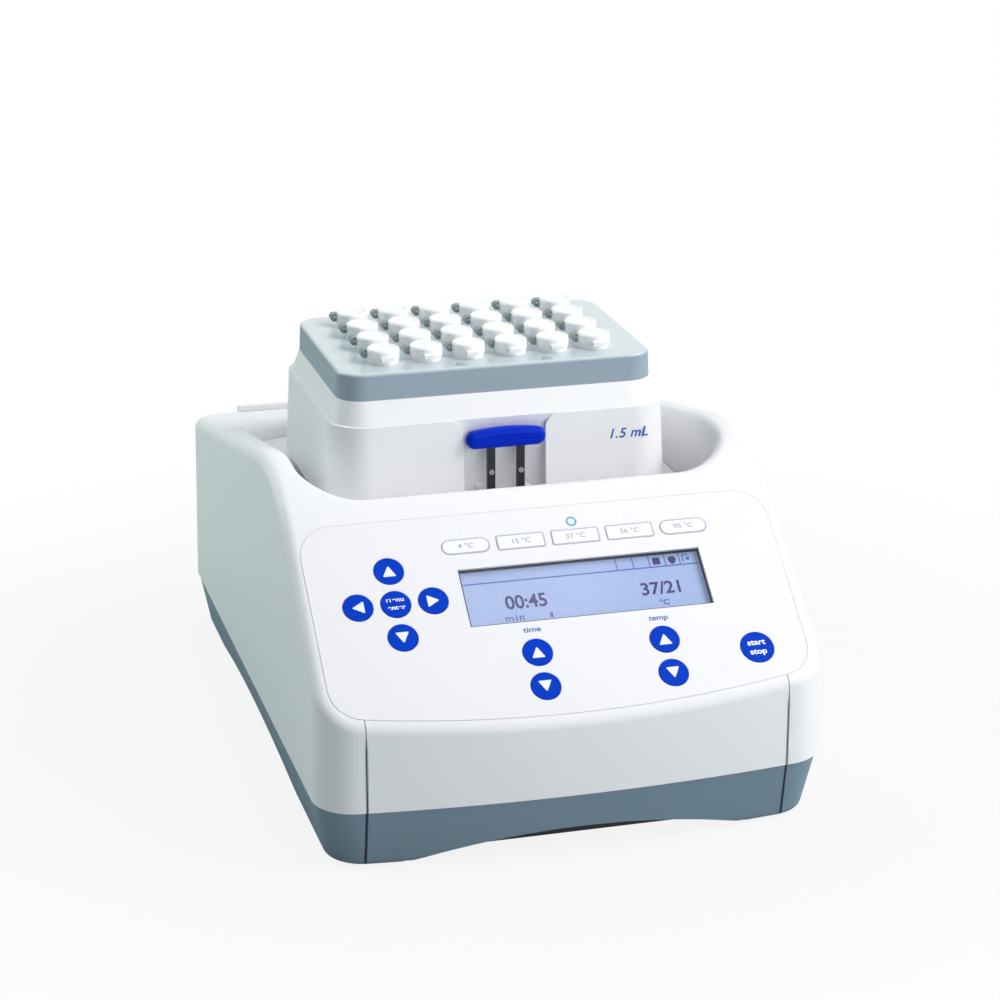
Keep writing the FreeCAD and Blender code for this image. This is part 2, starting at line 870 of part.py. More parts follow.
board = box("board_blank", "2 * board_half", "board_high - board_low", "board_thick")
on_panel(board, "-board_half", "board_low", "-board_depth - board_thick")
keep("control_board", board)

switches = []
lights = []
flange_low = "(-wall - key_flange_thick)"
stem_low = "(-board_depth + plunger_height + key_travel + press_gap)"
for key, x, v, kind in KEYS:
    case = box(key + "_switch_case", "switch_side", "switch_side", "switch_height")
    on_panel(case, f"{x} - switch_side / 2", f"{v} - switch_side / 2", "-board_depth")
    plunger = on_panel(cylinder(key + "_plunger", "plunger_radius", "plunger_height"), x, v, "-board_depth")
    switches.append(fuse(key + "_switch", [case, plunger]))
    cap = on_panel(key_disc(key + "_cap", kind, flange_low, "key_proud"), x, v, flange_low)
    flange = on_panel(key_disc(key + "_flange", kind, flange_low, "-wall", "key_flange"), x, v, flange_low)
    stem = on_panel(cylinder(key + "_stem", "stem_radius", f"-wall - {stem_low}"), x, v, stem_low)
    keep("key_" + key, fuse(key + "_key", [cap, flange, stem]))
    if kind.startswith("preset"):
        pipe = cylinder(key + "_light_pipe", "light_radius - slip", "board_depth + overlay_proud")
        lights.append(on_panel(pipe, x, "light_v", "-board_depth"))
keep("key_switches", group("key_switch_set", switches))
keep("status_lights", group("status_light_set", lights))


# Grey base: walls that taper in, a floor, corner feet and arches between them

def base_form(name, inset, low, high):
    """The base's tapered outline between two heights, with rounded corners."""
    body = doc.addObject("PartDesign::Body", name)
    outline = draw(sketch_on(body, name + "_plan", "XY_Plane", high), plan(f"({inset}) + base_step"))
    block = pad(body, name + "_block", outline, f"({high}) - ({low})", reverse=True)

    def wall_face(face):
        return face.BoundBox.ZLength > 1e-3

    angle = "atan(base_taper / (split_height - base_bottom))"
    leaning = draft(body, name + "_draft", block, wall_face, high, angle, reverse=True)
    return body, round_corners(body, name + "_corner", leaning, f"({inset}) + base_step")


base_outer, base_corners = base_form("base_outer", "0", "base_bottom", "split_height")


def base_lower_edge(edge):
    """An edge round the underside of the base."""
    return abs(middle(edge).z - number("base_bottom")) < 1e-4 and not upright(edge)


fillet(base_outer, "base_rounding", base_corners, base_lower_edge, "base_edge")
base_inside = base_form("base_inside", "wall", "floor_height + floor_thick", "split_height + past")[0]
base_under = base_form("base_under", "skirt_wall", "base_bottom - past", "floor_height")[0]
foot_blocks = []
for side in (-1, 1):
    for end in (-1, 1):
        block = box("foot_block", "body_width / 2", "body_depth / 2", "floor_height")
        low_x = "foot_x" if side > 0 else "-foot_x - body_width / 2"
        low_y = "foot_y" if end > 0 else "-foot_y - body_depth / 2"
        foot_blocks.append(place(block, low_x, low_y, "0"))
under_space = cut("under_space", base_under, foot_blocks)


def arch_form(name, role, span, rise, centre):
    """A flat arch cut through two opposite walls, as a segment of a circle on its side."""
    body = doc.addObject("PartDesign::Body", name)
    half = f"(({span}) / 2)"
    tall = f"({rise})"
    arc = f"({half} ^ 2 + {tall} ^ 2) / (2 * {tall})"
    low = "(base_bottom - past)"
    outline = [(f"({centre}) - {half}", low), (f"({centre}) + {half}", low),
               (f"({centre}) + {half}", "base_bottom", f"{arc}"), (f"({centre}) - {half}", "base_bottom")]
    sketch = draw(sketch_on(body, name + "_outline", role), outline)
    pad(body, name + "_pad", sketch, "2 * body_depth", midplane=True)
    return body


front_arch = arch_form("front_arch", "XZ_Plane", "front_arch_span", "front_arch_rise", "0")
side_arch = arch_form("side_arch", "YZ_Plane", "side_arch_span", "side_arch_rise", "side_arch_y")
foot_recesses = []
feet = []
for side in (-1, 1):
    for end in (-1, 1):
        x = f"{side} * rubber_foot_x"
        y = f"{end} * rubber_foot_y"
        recess = cylinder("foot_recess", "rubber_foot_radius + fit_gap / 2", "rubber_foot_height")
        foot_recesses.append(place(recess, x, y, "0"))
        foot = cylinder("foot", "rubber_foot_radius", "rubber_foot_height")
        feet.append(place(foot, x, y, "0"))
keep("rubber_feet", group("rubber_feet_set", feet))

screw_holes = []
housing_screws = []
for side in (-1, 1):
    for end in (-1, 1):
        x = f"{side} * boss_x"
        y = f"{end} * boss_y"
        hole = cylinder("screw_hole", "screw_radius + fit_gap", "split_height")
        screw_holes.append(place(hole, x, y, "0"))
        head_level = "(base_bottom + screw_sink)"
        head_hole = cylinder("screw_head_hole", "screw_head + fit_gap", f"{head_level} + screw_head_height")
        screw_holes.append(place(head_hole, x, y, "0"))
        head = place(cylinder("screw_head_disc", "screw_head", "screw_head_height"), x, y, head_level)
        shank = cylinder("screw_shank", "screw_radius - slip", f"split_height + screw_bite - {head_level}")
        housing_screws.append(fuse("housing_screw", [head, place(shank, x, y, head_level)]))
keep("housing_screws", group("housing_screw_set", housing_screws))

tower_set = []
for side in (-1, 1):
    for end in (-1, 1):
        tower = cylinder("screw_tower", "boss_radius", "split_height - floor_height")
        tower_set.append(place(tower, f"{side} * boss_x", f"{end} * boss_y", "floor_height"))
base_hollow = cut("base_hollow", base_outer, [base_inside, under_space, front_arch, side_arch])
base_towers = fuse("base_towers", [base_hollow] + tower_set)
base_whole = cut("base_whole", base_towers, foot_recesses + screw_holes)


def skirt_region(name, slack):
    """The part of the base's front wall between the front seams."""
    half = f"(front_seam + {slack})"
    region = box(name, f"2 * {half}", "skirt_depth", "split_height")
    return place(region, f"-{half}", "-body_depth / 2 - past", "0")


keep("front_skirt", common("front_skirt_solid", base_whole, skirt_region("skirt_piece", "-seam_gap / 2")))
keep("base_pan", cut("base_pan_solid", base_whole, [skirt_region("skirt_opening", "seam_gap / 2")]))


# Dark sheet-metal plate under the floor, flanged up all round, with air slots below the heatsink

belly_depth = "plate_front + plate_rear"
belly_low = "(floor_height - plate_drop)"
belly = place(box("belly_blank", "2 * plate_x", belly_depth, "plate_drop"), "-plate_x", "-plate_front", belly_low)
belly_inner = box("belly_inner", "2 * plate_x - 2 * sheet_thick", f"{belly_depth} - 2 * sheet_thick", "plate_drop")
place(belly_inner, "-plate_x + sheet_thick", "-plate_front + sheet_thick", f"{belly_low} + sheet_thick")
belly_cuts = [belly_inner]
slot_count = int(number("belly_slot_count"))
for index in range(slot_count):
    slot = slab("belly_slot", "belly_slot_length", "vent_slot", "plate_drop", "0",
                f"block_y + {index - (slot_count - 1) / 2} * 3 * vent_slot", f"{belly_low} - past")
    belly_cuts.append(slot)
for side in (-1, 1):
    for end in (-1, 1):
        low_x = "foot_x - fit_gap" if side > 0 else "-foot_x + fit_gap - overrun"
        low_y = "foot_y - fit_gap" if end > 0 else "-foot_y + fit_gap - 2 * overrun"
        corner = box("belly_corner", "overrun", "2 * overrun", "plate_drop + 2 * past")
        belly_cuts.append(place(corner, low_x, low_y, f"{belly_low} - past"))
keep("bottom_plate", cut("bottom_plate_solid", belly, belly_cuts))


# Rear panel with a raised lip, slots for the fan's air, and cut-outs for inlet and switch

lifted = housing_form("lip_form", "-rear_lip", "split_height")[0]
lip_body = common("lip_body", lifted, rear_region("lip_region", "-seam_gap / 2"))
lip_plan = plan_form("lip_plan", "0", "split_height")[0]
rear_blank = cut("rear_blank", common("rear_plan", lip_body, lip_plan), [inner])
rear_face = "(body_depth / 2 - recess_depth)"
recess_low = "(split_height + wall + fit_gap)"


def recess_form(name, grow, rear, depth):
    """A block with round corners behind the mains inlet and switch."""
    body = doc.addObject("PartDesign::Body", name)
    low = f"({recess_low} - ({grow}))"
    high = f"(recess_high + ({grow}))"
    half = f"(recess_half + ({grow}))"
    outline = rounded(f"-{half}", half, low, high, f"recess_round + ({grow})")
    pad(body, name + "_pad", draw(sketch_on(body, name + "_outline", "XZ_Plane"), outline), depth)
    return place(body, "inlet_x", rear, "0")


recess_back = recess_form("recess_back", "wall", "body_depth / 2 - wall / 2", "recess_depth + wall / 2")
recess = recess_form("recess", "0", "body_depth / 2 + wall", "recess_depth + wall")
fan_pads = []
pad_reach = "fan_side / 2 - pad_inset"
for side in (-1, 1):
    for end in (-1, 1):
        spacer = cylinder("fan_pad", "pad_radius", "fan_gap + wall / 2")
        place(spacer, f"fan_x + {side} * ({pad_reach})", "body_depth / 2 - wall / 2",
              f"fan_z + {end} * ({pad_reach})", "x", "90")
        fan_pads.append(spacer)
rear_cuts = []
grille_count = int(number("grille_count"))
for index in range(grille_count):
    off = index - (grille_count - 1) / 2
    chord = f"2 * sqrt(fan_bore ^ 2 - ({off} * 2 * vent_slot) ^ 2)"
    slot = box("rear_slot", chord, "6 * wall", "vent_slot")
    place(slot, f"fan_x - ({chord}) / 2", "body_depth / 2 - 2 * wall",
          f"fan_z + {off} * 2 * vent_slot - vent_slot / 2")
    rear_cuts.append(slot)
inlet_length = "(inlet_wide - 2 * inlet_rim_side)"
inlet_tall = "(inlet_high - 2 * inlet_rim_top)"
inlet_hole = slab("inlet_hole", f"{inlet_length} + fit_gap", "6 * wall", f"{inlet_tall} + fit_gap",
                  "inlet_x", "body_depth / 2", f"inlet_z - ({inlet_tall} + fit_gap) / 2")
rocker_hole = slab("rocker_hole", "rocker_wide + fit_gap", "6 * wall", "rocker_high + fit_gap",
                   "inlet_x", "body_depth / 2", "rocker_z - (rocker_high + fit_gap) / 2")
keep("rear_panel", cut("rear_panel_solid", fuse("rear_with_pads", [rear_blank, recess_back] + fan_pads),
                       rear_cuts + [recess, inlet_hole, rocker_hole]))

flange = slab("inlet_flange_plate", "inlet_wide", "inlet_flange", "inlet_high", "inlet_x",
              f"{rear_face} + inlet_flange / 2", "inlet_z - inlet_high / 2")
inlet_body = slab("inlet_body", inlet_length, "socket_depth + inlet_back", inlet_tall, "inlet_x",
                  f"{rear_face} + inlet_flange - (socket_depth + inlet_back) / 2", f"inlet_z - {inlet_tall} / 2")
socket = doc.addObject("PartDesign::Body", "socket_form")
half_wide = "socket_wide / 2"
half_high = "socket_high / 2"
socket_outline = [
    (f"-{half_wide}", f"-{half_high}"),
    (half_wide, f"-{half_high}"),
    (half_wide, f"{half_high} - socket_chamfer"),
    (f"{half_wide} - socket_chamfer", half_high),
    (f"-{half_wide} + socket_chamfer", half_high),
    (f"-{half_wide}", f"{half_high} - socket_chamfer"),
]
pad(socket, "socket_pad", draw(sketch_on(socket, "socket_outline", "XZ_Plane"), socket_outline),
    "socket_depth + past")
place(socket, "inlet_x", f"{rear_face} + inlet_flange + past", "inlet_z")
keep("mains_inlet", cut("inlet_shell", fuse("inlet_blank", [flange, inlet_body]), [socket]))
prongs = []
prong_end = f"({rear_face} + inlet_flange - prong_short)"
prong_start = f"({rear_face} + inlet_flange - socket_depth)"
for across, up in (("-prong_spread", "-prong_drop"), ("0", "prong_rise"), ("prong_spread", "-prong_drop")):
    prong = slab("prong", "prong_wide", f"{prong_end} - {prong_start}", "prong_high", f"inlet_x + {across}",
                 f"({prong_end} + {prong_start}) / 2", f"inlet_z + {up} - prong_high / 2")
    prongs.append(prong)
keep("inlet_prongs", group("inlet_prong_set", prongs))

rim_high = "(rocker_high + 2 * rocker_rim)"
void_high = "(rocker_high - 2 * rocker_rim)"
rocker_rim = slab("rocker_rim_plate", "rocker_wide + 2 * rocker_rim", "inlet_flange", rim_high, "inlet_x",
                  f"{rear_face} + inlet_flange / 2", f"rocker_z - {rim_high} / 2")
rocker_case = slab("rocker_case", "rocker_wide", "rocker_case_depth", "rocker_high", "inlet_x",
                   f"{rear_face} - rocker_case_depth / 2", "rocker_z - rocker_high / 2")
rocker_void = slab("rocker_void", "rocker_wide - 2 * rocker_rim", "2 * rocker_void_depth", void_high, "inlet_x",
                   rear_face, f"rocker_z - {void_high} / 2")
rocker_open = cut("rocker_open", fuse("rocker_frame", [rocker_rim, rocker_case]), [rocker_void])
pivot_y = f"({rear_face} - rocker_pivot_depth)"
rocker_pin = place(cylinder("rocker_pin", "rocker_pin_radius", f"{void_high} + rocker_rim"), "inlet_x", pivot_y,
                   f"rocker_z - ({void_high} + rocker_rim) / 2")
keep("switch_frame", fuse("switch_frame_solid", [rocker_open, rocker_pin]))

rocker = doc.addObject("PartDesign::Body", "rocker_form")
rocker_half = "(rocker_wide / 2 - rocker_rim - rocker_side_gap)"
rocker_crown = f"(rocker_pivot_depth + 2 * rocker_proud + {rocker_half} * tan(rocker_tilt))"
rocker_outline = [
    (f"-{rocker_half}", rocker_crown, "rocker_dip"),
    (rocker_half, rocker_crown),
    (rocker_half, "rocker_pivot_depth + rocker_proud"),
    ("rocker_keel", "-rocker_keel_drop"),
    ("-rocker_keel", "-rocker_keel_drop"),
    (f"-{rocker_half}", "rocker_pivot_depth + rocker_proud"),
]
rocker_sketch = draw(sketch_on(rocker, "rocker_outline", "XY_Plane"), rocker_outline)
rocker_pad = pad(rocker, "rocker_pad", rocker_sketch, f"{void_high} - 2 * rocker_side_gap", midplane=True)
rocker_bore = sketch_on(rocker, "rocker_bore", "XY_Plane", "-rocker_high / 2")
draw_circle(rocker_bore, "0", "0", "rocker_pin_radius + fit_gap")
pocket(rocker, "rocker_bore_pocket", rocker_bore, "rocker_high", reverse=True)
keep("power_rocker", place(rocker, "inlet_x", pivot_y, "rocker_z", "z", "rocker_tilt"))


# Fan: a square frame with a round duct and a hub carried on struts, and a rotor with twisted blades

fan_y = "(body_depth / 2 - wall - fan_gap - fan_thick)"
fan_block = slab("fan_block", "fan_side", "fan_thick", "fan_side", "fan_x", f"{fan_y} + fan_thick / 2",
                 "fan_z - fan_side / 2")
fan_duct = place(cylinder("fan_duct", "fan_bore", "fan_thick + 2 * past"), "fan_x", f"{fan_y} + fan_thick + past",
                 "fan_z", "x", "90")
fan_ring = cut("fan_ring", fan_block, [fan_duct])
motor_plate = place(cylinder("motor_plate", "motor_radius", "motor_thick"), "fan_x", f"{fan_y} + motor_thick",
                    "fan_z", "x", "90")
struts = []
for turn_about in (45, 135, 225, 315):
    strut = box("fan_strut", "fan_bore - hub_radius + strut_thick", "strut_thick", "strut_thick")
    turned = f"placement(vector(fan_x; {fan_y}; fan_z); rotation(vector(0; 1; 0); {turn_about}))"
    outward = "placement(vector(hub_radius; 0; -strut_thick / 2); rotation(vector(0; 0; 1); 0))"
    strut.setExpression("Placement", bound(f"{turned} * {outward}"))
    struts.append(strut)
bearing = place(cylinder("fan_bearing_post", "bearing_radius", "bearing_length"), "fan_x",
                f"{fan_y} + bearing_length", "fan_z", "x", "90")
keep("fan_frame", fuse("fan_frame_solid", [fan_ring, motor_plate, bearing] + struts))

rotor = doc.addObject("PartDesign::Body", "rotor_form")
hub_outline = sketch_on(rotor, "hub_outline", "XY_Plane")
draw_circle(hub_outline, "0", "0", "hub_radius")
pad(rotor, "hub_pad", hub_outline, "rotor_thick")


def blade_section(name, radius, rise, chord):
    """A thin slanted blade section, drawn on a plane at a radius from the fan's axis."""
    sketch = sketch_on(rotor, name, "YZ_Plane", radius)
    along = f"{chord} / 2 * cos({rise})"
    up = f"{chord} / 2 * sin({rise})"
    across = f"blade_thick / 2 * sin({rise})"
    down = f"blade_thick / 2 * cos({rise})"
    level = "(rotor_thick / 2)"
    outline = [
        (f"-{along} - {across}", f"{level} - {up} + {down}"),
        (f"-{along} + {across}", f"{level} - {up} - {down}", "blade_camber"),
        (f"{along} + {across}", f"{level} + {up} - {down}"),
        (f"{along} - {across}", f"{level} + {up} + {down}", "-blade_camber"),
    ]
    return draw(sketch, outline)


root = blade_section("blade_root", "hub_radius - blade_thick", "blade_root_rise", "blade_root_chord")
tip = blade_section("blade_tip", "fan_radius", "blade_tip_rise", "blade_tip_chord")
blade = rotor.newObject("PartDesign::AdditiveLoft", "blade")
blade.Profile = root
blade.Sections = [tip]
blade.Ruled = True
doc.recompute()
spin = rotor.newObject("PartDesign::PolarPattern", "blades")
spin.Originals = [blade]
spin.Axis = (hub_outline, ["N_Axis"])
spin.Angle = 360
bind(spin, Occurrences="blade_count")
rotor.Tip = spin
doc.recompute()
shaft_hole = sketch_on(rotor, "shaft_hole", "XY_Plane", "rotor_thick")
draw_circle(shaft_hole, "0", "0", "bearing_radius + fit_gap")
rotor.Tip = pocket(rotor, "shaft_pocket", shaft_hole, "bearing_length")
keep("fan_rotor", place(rotor, "fan_x", f"{fan_y} + fan_thick - rotor_inset", "fan_z", "x", "90"))


# Well floor, heater plate, thermoelectric modules and heatsink

floor_half = "(well_half - well_draft - fit_gap)"
floor_outline = rounded(f"-{floor_half}", floor_half, "well_front + well_draft + fit_gap",
                        "well_rear - well_draft - fit_gap", "well_corner - well_draft")
floor_blank = shape_plate("floor_blank", floor_outline, "well_floor_thick", "well_floor")
sink_bottom = "(heater_top - heater_thick - module_thick)"
floor_posts = []
sink_screws = []
sink_screw_holes = []
for side in (-1, 1):
    for end in (-1, 1):
        x = f"{side} * sink_post_x"
        y = f"block_y + {end} * sink_post_y"
        post = cylinder("floor_post", "sink_post_radius", f"well_floor - {sink_bottom}")
        floor_posts.append(place(post, x, y, sink_bottom))
        bore = cylinder("floor_post_bore", "screw_radius", f"well_floor - {sink_bottom}")
        sink_screw_holes.append(place(bore, x, y, f"{sink_bottom} - past"))
        head = place(cylinder("sink_screw_head", "screw_head", "screw_head_height"), x, y,
                     f"{sink_bottom} - sink_base - screw_head_height")
        shank = place(cylinder("sink_screw_shank", "screw_radius - slip", "sink_base + sink_screw_bite"), x, y,
                      f"{sink_bottom} - sink_base")
        sink_screws.append(fuse("sink_screw", [head, shank]))
heater_window = slab("heater_window", "heater_length + 2 * fit_gap", "heater_width + 2 * fit_gap",
                     "3 * well_floor_thick", "0", "block_y", "well_floor - well_floor_thick")
keep("well_floor", cut("well_floor_solid", fuse("floor_with_posts", [floor_blank] + floor_posts),
                       [heater_window] + sink_screw_holes))
keep("heatsink_screws", group("heatsink_screw_set", sink_screws))
heater = slab("heater_solid", "heater_length", "heater_width", "heater_thick", "0", "block_y",
              "heater_top - heater_thick")
keep("heater_plate", heater)
gasket_outer = slab("gasket_outer", "heater_length + 2 * gasket_width", "heater_width + 2 * gasket_width",
                    "gasket_height", "0", "block_y", "well_floor + well_floor_thick")
gasket_inner = slab("gasket_inner", "heater_length", "heater_width", "2 * gasket_height", "0", "block_y",
                    "well_floor + well_floor_thick - past")
keep("plate_gasket", cut("plate_gasket_solid", gasket_outer, [gasket_inner]))
modules = []
for index in (-1, 0, 1):
    modules.append(slab("module", "module_side", "module_side", "module_thick", f"{index} * module_pitch",
                        "block_y", sink_bottom))
keep("thermoelectric_modules", group("module_set", modules))

sink = doc.addObject("PartDesign::Body", "sink_form")
half_sink = "sink_length / 2"
half_deep = "sink_width / 2"
sink_outline = [(f"-{half_sink}", f"-{half_deep}"), (half_sink, f"-{half_deep}"),
                (half_sink, half_deep), (f"-{half_sink}", half_deep)]
base_plate = draw(sketch_on(sink, "sink_outline", "XY_Plane"), sink_outline)
pad(sink, "sink_plate", base_plate, "sink_base")
fin_left = "(-(fin_count - 1) / 2 * fin_pitch - fin_thick / 2)"
fin_rows = "(sink_post_y - screw_head - past)"
fin_outline = [(fin_left, f"-{fin_rows}"), (f"{fin_left} + fin_thick", f"-{fin_rows}"),
               (f"{fin_left} + fin_thick", fin_rows), (fin_left, fin_rows)]
fin_sketch = draw(sketch_on(sink, "fin_outline", "XY_Plane"), fin_outline)
fin = pad(sink, "fin", fin_sketch, "fin_height", reverse=True)
doc.recompute()
fins = sink.newObject("PartDesign::LinearPattern", "fins")
fins.Originals = [fin]
fins.Direction = (base_plate, ["H_Axis"])
bind(fins, Length="(fin_count - 1) * fin_pitch", Occurrences="fin_count")
sink.Tip = fins
place(sink, "0", "block_y", f"{sink_bottom} - sink_base")
sink_holes = []
for side in (-1, 1):
    for end in (-1, 1):
        hole = cylinder("sink_hole", "screw_radius + fit_gap", "sink_base + 2 * past")
        sink_holes.append(place(hole, f"{side} * sink_post_x", f"block_y + {end} * sink_post_y",
                                f"{sink_bottom} - sink_base - past"))
keep("heatsink", cut("heatsink_solid", sink, sink_holes))


# Power supply and power board on the floor of the base

pan_floor = "(floor_height + floor_thick)"
supply = slab("supply_case", "supply_length", "supply_depth", "supply_height", "supply_x", "0", pan_floor)
supply_slots = []
supply_slot_count = int(number("supply_slot_count"))
for index in range(supply_slot_count):
    slot = slab("supply_slot", "supply_length - 2 * supply_slot_margin", "supply_slot_wide", "2 * supply_slot_deep",
                "supply_x", f"{index - (supply_slot_count - 1) / 2} * supply_slot_pitch",
                f"{pan_floor} + supply_height - supply_slot_deep")
    supply_slots.append(slot)
keep("power_supply", cut("power_supply_solid", supply, supply_slots))
board_level = f"({pan_floor} + power_board_lift)"
board_parts = [slab("power_board_blank", "power_board_width", "power_board_depth", "board_thick", "power_board_x",
                    "power_board_y", board_level)]
for side in (-1, 1):
    for end in (-1, 1):
        leg = cylinder("power_board_leg", "power_leg_radius", "power_board_lift + board_thick / 2")
        place(leg, f"power_board_x + {side} * (power_board_width / 2 - power_leg_inset)",
              f"power_board_y + {end} * (power_board_depth / 2 - power_leg_inset)", pan_floor)
        board_parts.append(leg)
    capacitor = cylinder("capacitor", "capacitor_radius", "capacitor_height")
    board_parts.append(place(capacitor, f"power_board_x + {side} * 1.5 * capacitor_radius", "capacitor_y",
                             f"{board_level} + board_thick / 2"))
choke = slab("choke", "choke_length", "choke_width", "choke_height", "power_board_x", "0",
             f"{board_level} + board_thick / 2")
keep("power_board", fuse("power_board_solid", board_parts + [choke]))


# Thermoblock: aluminium core with tapered bores, grey top plate, white skirt with a ledge

TUBES = []
for row in range(int(number("tube_rows"))):
    for column in range(int(number("tube_columns"))):
        x = f"({column} - (tube_columns - 1) / 2) * column_pitch"
        y = f"block_y + ({row} - (tube_rows - 1) / 2) * row_pitch"
        TUBES.append((row, x, y))


def tube_revolution(name, outline):
    """A solid turned about the upright axis from a half outline of (radius, height)."""
    body = doc.addObject("PartDesign::Body", name)
    sketch = draw(sketch_on(body, name + "_outline", "XZ_Plane"), outline)
    turned = body.newObject("PartDesign::Revolution", name + "_turned")
    turned.Profile = sketch
    turned.ReferenceAxis = (sketch, ["V_Axis"])
    turned.Angle = 360
    return body


def tube_outline(grow):
    """Half outline of a tube below its collar, or of its bore when grown by the fit."""
    wide = f"(tube_radius + {grow})"
    narrow = f"(tube_tip + {grow})"
    return [("0", f"-tube_length - {grow}"), (narrow, f"-tube_length - {grow}"),
            (wide, "-tube_length + tube_cone"), (wide, "past"), ("0", "past")]


def spread(name, source, tubes):
    """Copies of one shape, one at each tube's place."""
    copies = []
    for row, x, y in tubes:
        copy = doc.addObject("App::Link", name)
        copy.LinkedObject = source
        copy.LinkTransform = False
        place(copy, x, y, "plate_top")
        copies.append(copy)
    return copies


bore_form = tube_revolution("bore_form", tube_outline("tube_fit"))
core_blank = slab("core_blank", "core_length", "core_width", "core_top - heater_top", "0", "block_y", "heater_top")
bores = spread("bore", bore_form, TUBES)
block_screws = []
core_screw_bores = []
plate_screw_bores = []
for side in (-1, 1):
    for end in (-1, 1):
        x = f"{side} * (core_length / 2 - core_screw_inset)"
        y = f"block_y + {end} * (core_width / 2 - core_screw_inset)"
        head_hole = cylinder("core_counterbore", "screw_head + fit_gap", "screw_head_height + screw_sink")
        core_screw_bores.append(place(head_hole, x, y, "heater_top"))
        through = cylinder("core_screw_bore", "screw_radius + fit_gap", "core_top - heater_top + 2 * past")
        core_screw_bores.append(place(through, x, y, "heater_top - past"))
        blind = cylinder("plate_screw_bore", "screw_radius", "core_screw_bite + past")
        plate_screw_bores.append(place(blind, x, y, "core_top - past"))
        head_level = "(heater_top + screw_sink)"
        head = place(cylinder("core_screw_head", "screw_head", "screw_head_height"), x, y, head_level)
        shank = cylinder("core_screw_shank", "screw_radius - slip", f"core_top + core_screw_bite - {head_level}")
        block_screws.append(fuse("core_screw", [head, place(shank, x, y, head_level)]))
keep("block_screws", group("block_screw_set", block_screws))
keep("block_core", cut("block_core_solid", core_blank, bores + core_screw_bores))


def block_ring(side, front, rear, corner):
    """Outline of the block, grown past the top plate at its sides, front and rear."""
    half = f"(plate_length / 2 + {side})"
    front_y = f"(block_y - plate_width / 2 - ({front}))"
    rear_y = f"(block_y + plate_width / 2 + ({rear}))"
    return rounded(f"-{half}", half, front_y, rear_y, corner)


top_plate = doc.addObject("PartDesign::Body", "top_plate_form")
plate_outline = draw(sketch_on(top_plate, "top_plate_outline", "XY_Plane", "plate_bottom"),
                     block_ring("0", "0", "0", "plate_corner"))
plate_block = pad(top_plate, "top_plate_block", plate_outline, "plate_top - plate_bottom")


def plate_side(face):
    """A side face of the plate's block."""
    return face.BoundBox.ZLength > 1e-3


plate_leaning = draft(top_plate, "top_plate_draft", plate_block, plate_side, "plate_bottom",
                      "atan(plate_draft / (plate_top - plate_bottom))")


def plate_rim(edge):
    """An edge round the top of the plate."""
    return abs(middle(edge).z - number("plate_top")) < 1e-4


fillet(top_plate, "plate_rounding", plate_leaning, plate_rim, "plate_round")
plate_hollow = shape_plate("plate_hollow",
                           block_ring("-plate_wall", "-plate_wall", "-plate_wall", "plate_corner - plate_wall"),
                           "core_top - plate_bottom + past", "plate_bottom - past")
plate_holes = []
for row, x, y in TUBES:
    hole = cylinder("plate_hole", "tube_radius + tube_fit", "plate_top - core_top + 2 * plate_wall")
    plate_holes.append(place(hole, x, y, "core_top - plate_wall"))
    slot = slab("plate_slot", "slot_wide", "slot_long", "2 * slot_depth", f"{x} - column_pitch / 2", y,
                "plate_top - slot_depth")
    plate_holes.append(slot)
keep("block_top_plate", cut("block_top_plate_solid", top_plate, [plate_hollow] + plate_holes + plate_screw_bores))

skirt = doc.addObject("PartDesign::Body", "skirt_form")
ledge_corner = "plate_corner + ledge_side"
loft(skirt, "skirt_upper", [
    ("ledge_height", block_ring("ledge_side - ledge_step", "ledge_front - ledge_step", "ledge_front - ledge_step",
                                ledge_corner)),
    ("plate_bottom", block_ring("0", "0", "0", "plate_corner")),
])
loft(skirt, "skirt_lower", [
    ("skirt_bottom", block_ring("ledge_side + skirt_flare", "ledge_front + skirt_flare", "ledge_front + skirt_flare",
                                f"{ledge_corner} + skirt_flare")),
    ("ledge_height", block_ring("ledge_side", "ledge_front", "ledge_front", ledge_corner)),
])
skirt_void = doc.addObject("PartDesign::Body", "skirt_void")
void_front = "ledge_front - ledge_step - skirt_thick"
void_middle = block_ring("ledge_side - ledge_step - skirt_thick", void_front, void_front,
                         f"{ledge_corner} - skirt_thick")
loft(skirt_void, "void_upper", [
    ("ledge_height", void_middle),
    ("plate_bottom + past", block_ring("-skirt_thick", "-skirt_thick", "-skirt_thick", "plate_corner - skirt_thick")),
])
loft(skirt_void, "void_lower", [
    ("skirt_bottom - past", block_ring("ledge_side + skirt_flare - skirt_thick",
                                       "ledge_front + skirt_flare - skirt_thick",
                                       "ledge_front + skirt_flare - skirt_thick",
                                       f"{ledge_corner} - skirt_thick")),
    ("ledge_height", void_middle),
])
notch = doc.addObject("PartDesign::Body", "notch_form")
flare_top = "ledge_height"
flare_low = "(ledge_height - notch_flare)"
notch_outline = [
    ("-notch_half", "skirt_bottom - past"),
    ("notch_half", "skirt_bottom - past"),
    ("notch_half", flare_low, "-notch_flare"),
    ("notch_half + notch_flare", flare_top),
    ("-notch_half - notch_flare", flare_top, "-notch_flare"),
    ("-notch_half", flare_low),
]
notch_sketch = draw(sketch_on(notch, "notch_outline", "XZ_Plane"), notch_outline)
pad(notch, "notch_pad", notch_sketch, "body_depth", midplane=True)
notch_low = "(block_y - plate_width / 2 - ledge_front - skirt_flare + notch_depth)"
notch_high = "(block_y - plate_width / 2 - ledge_front + ledge_step)"


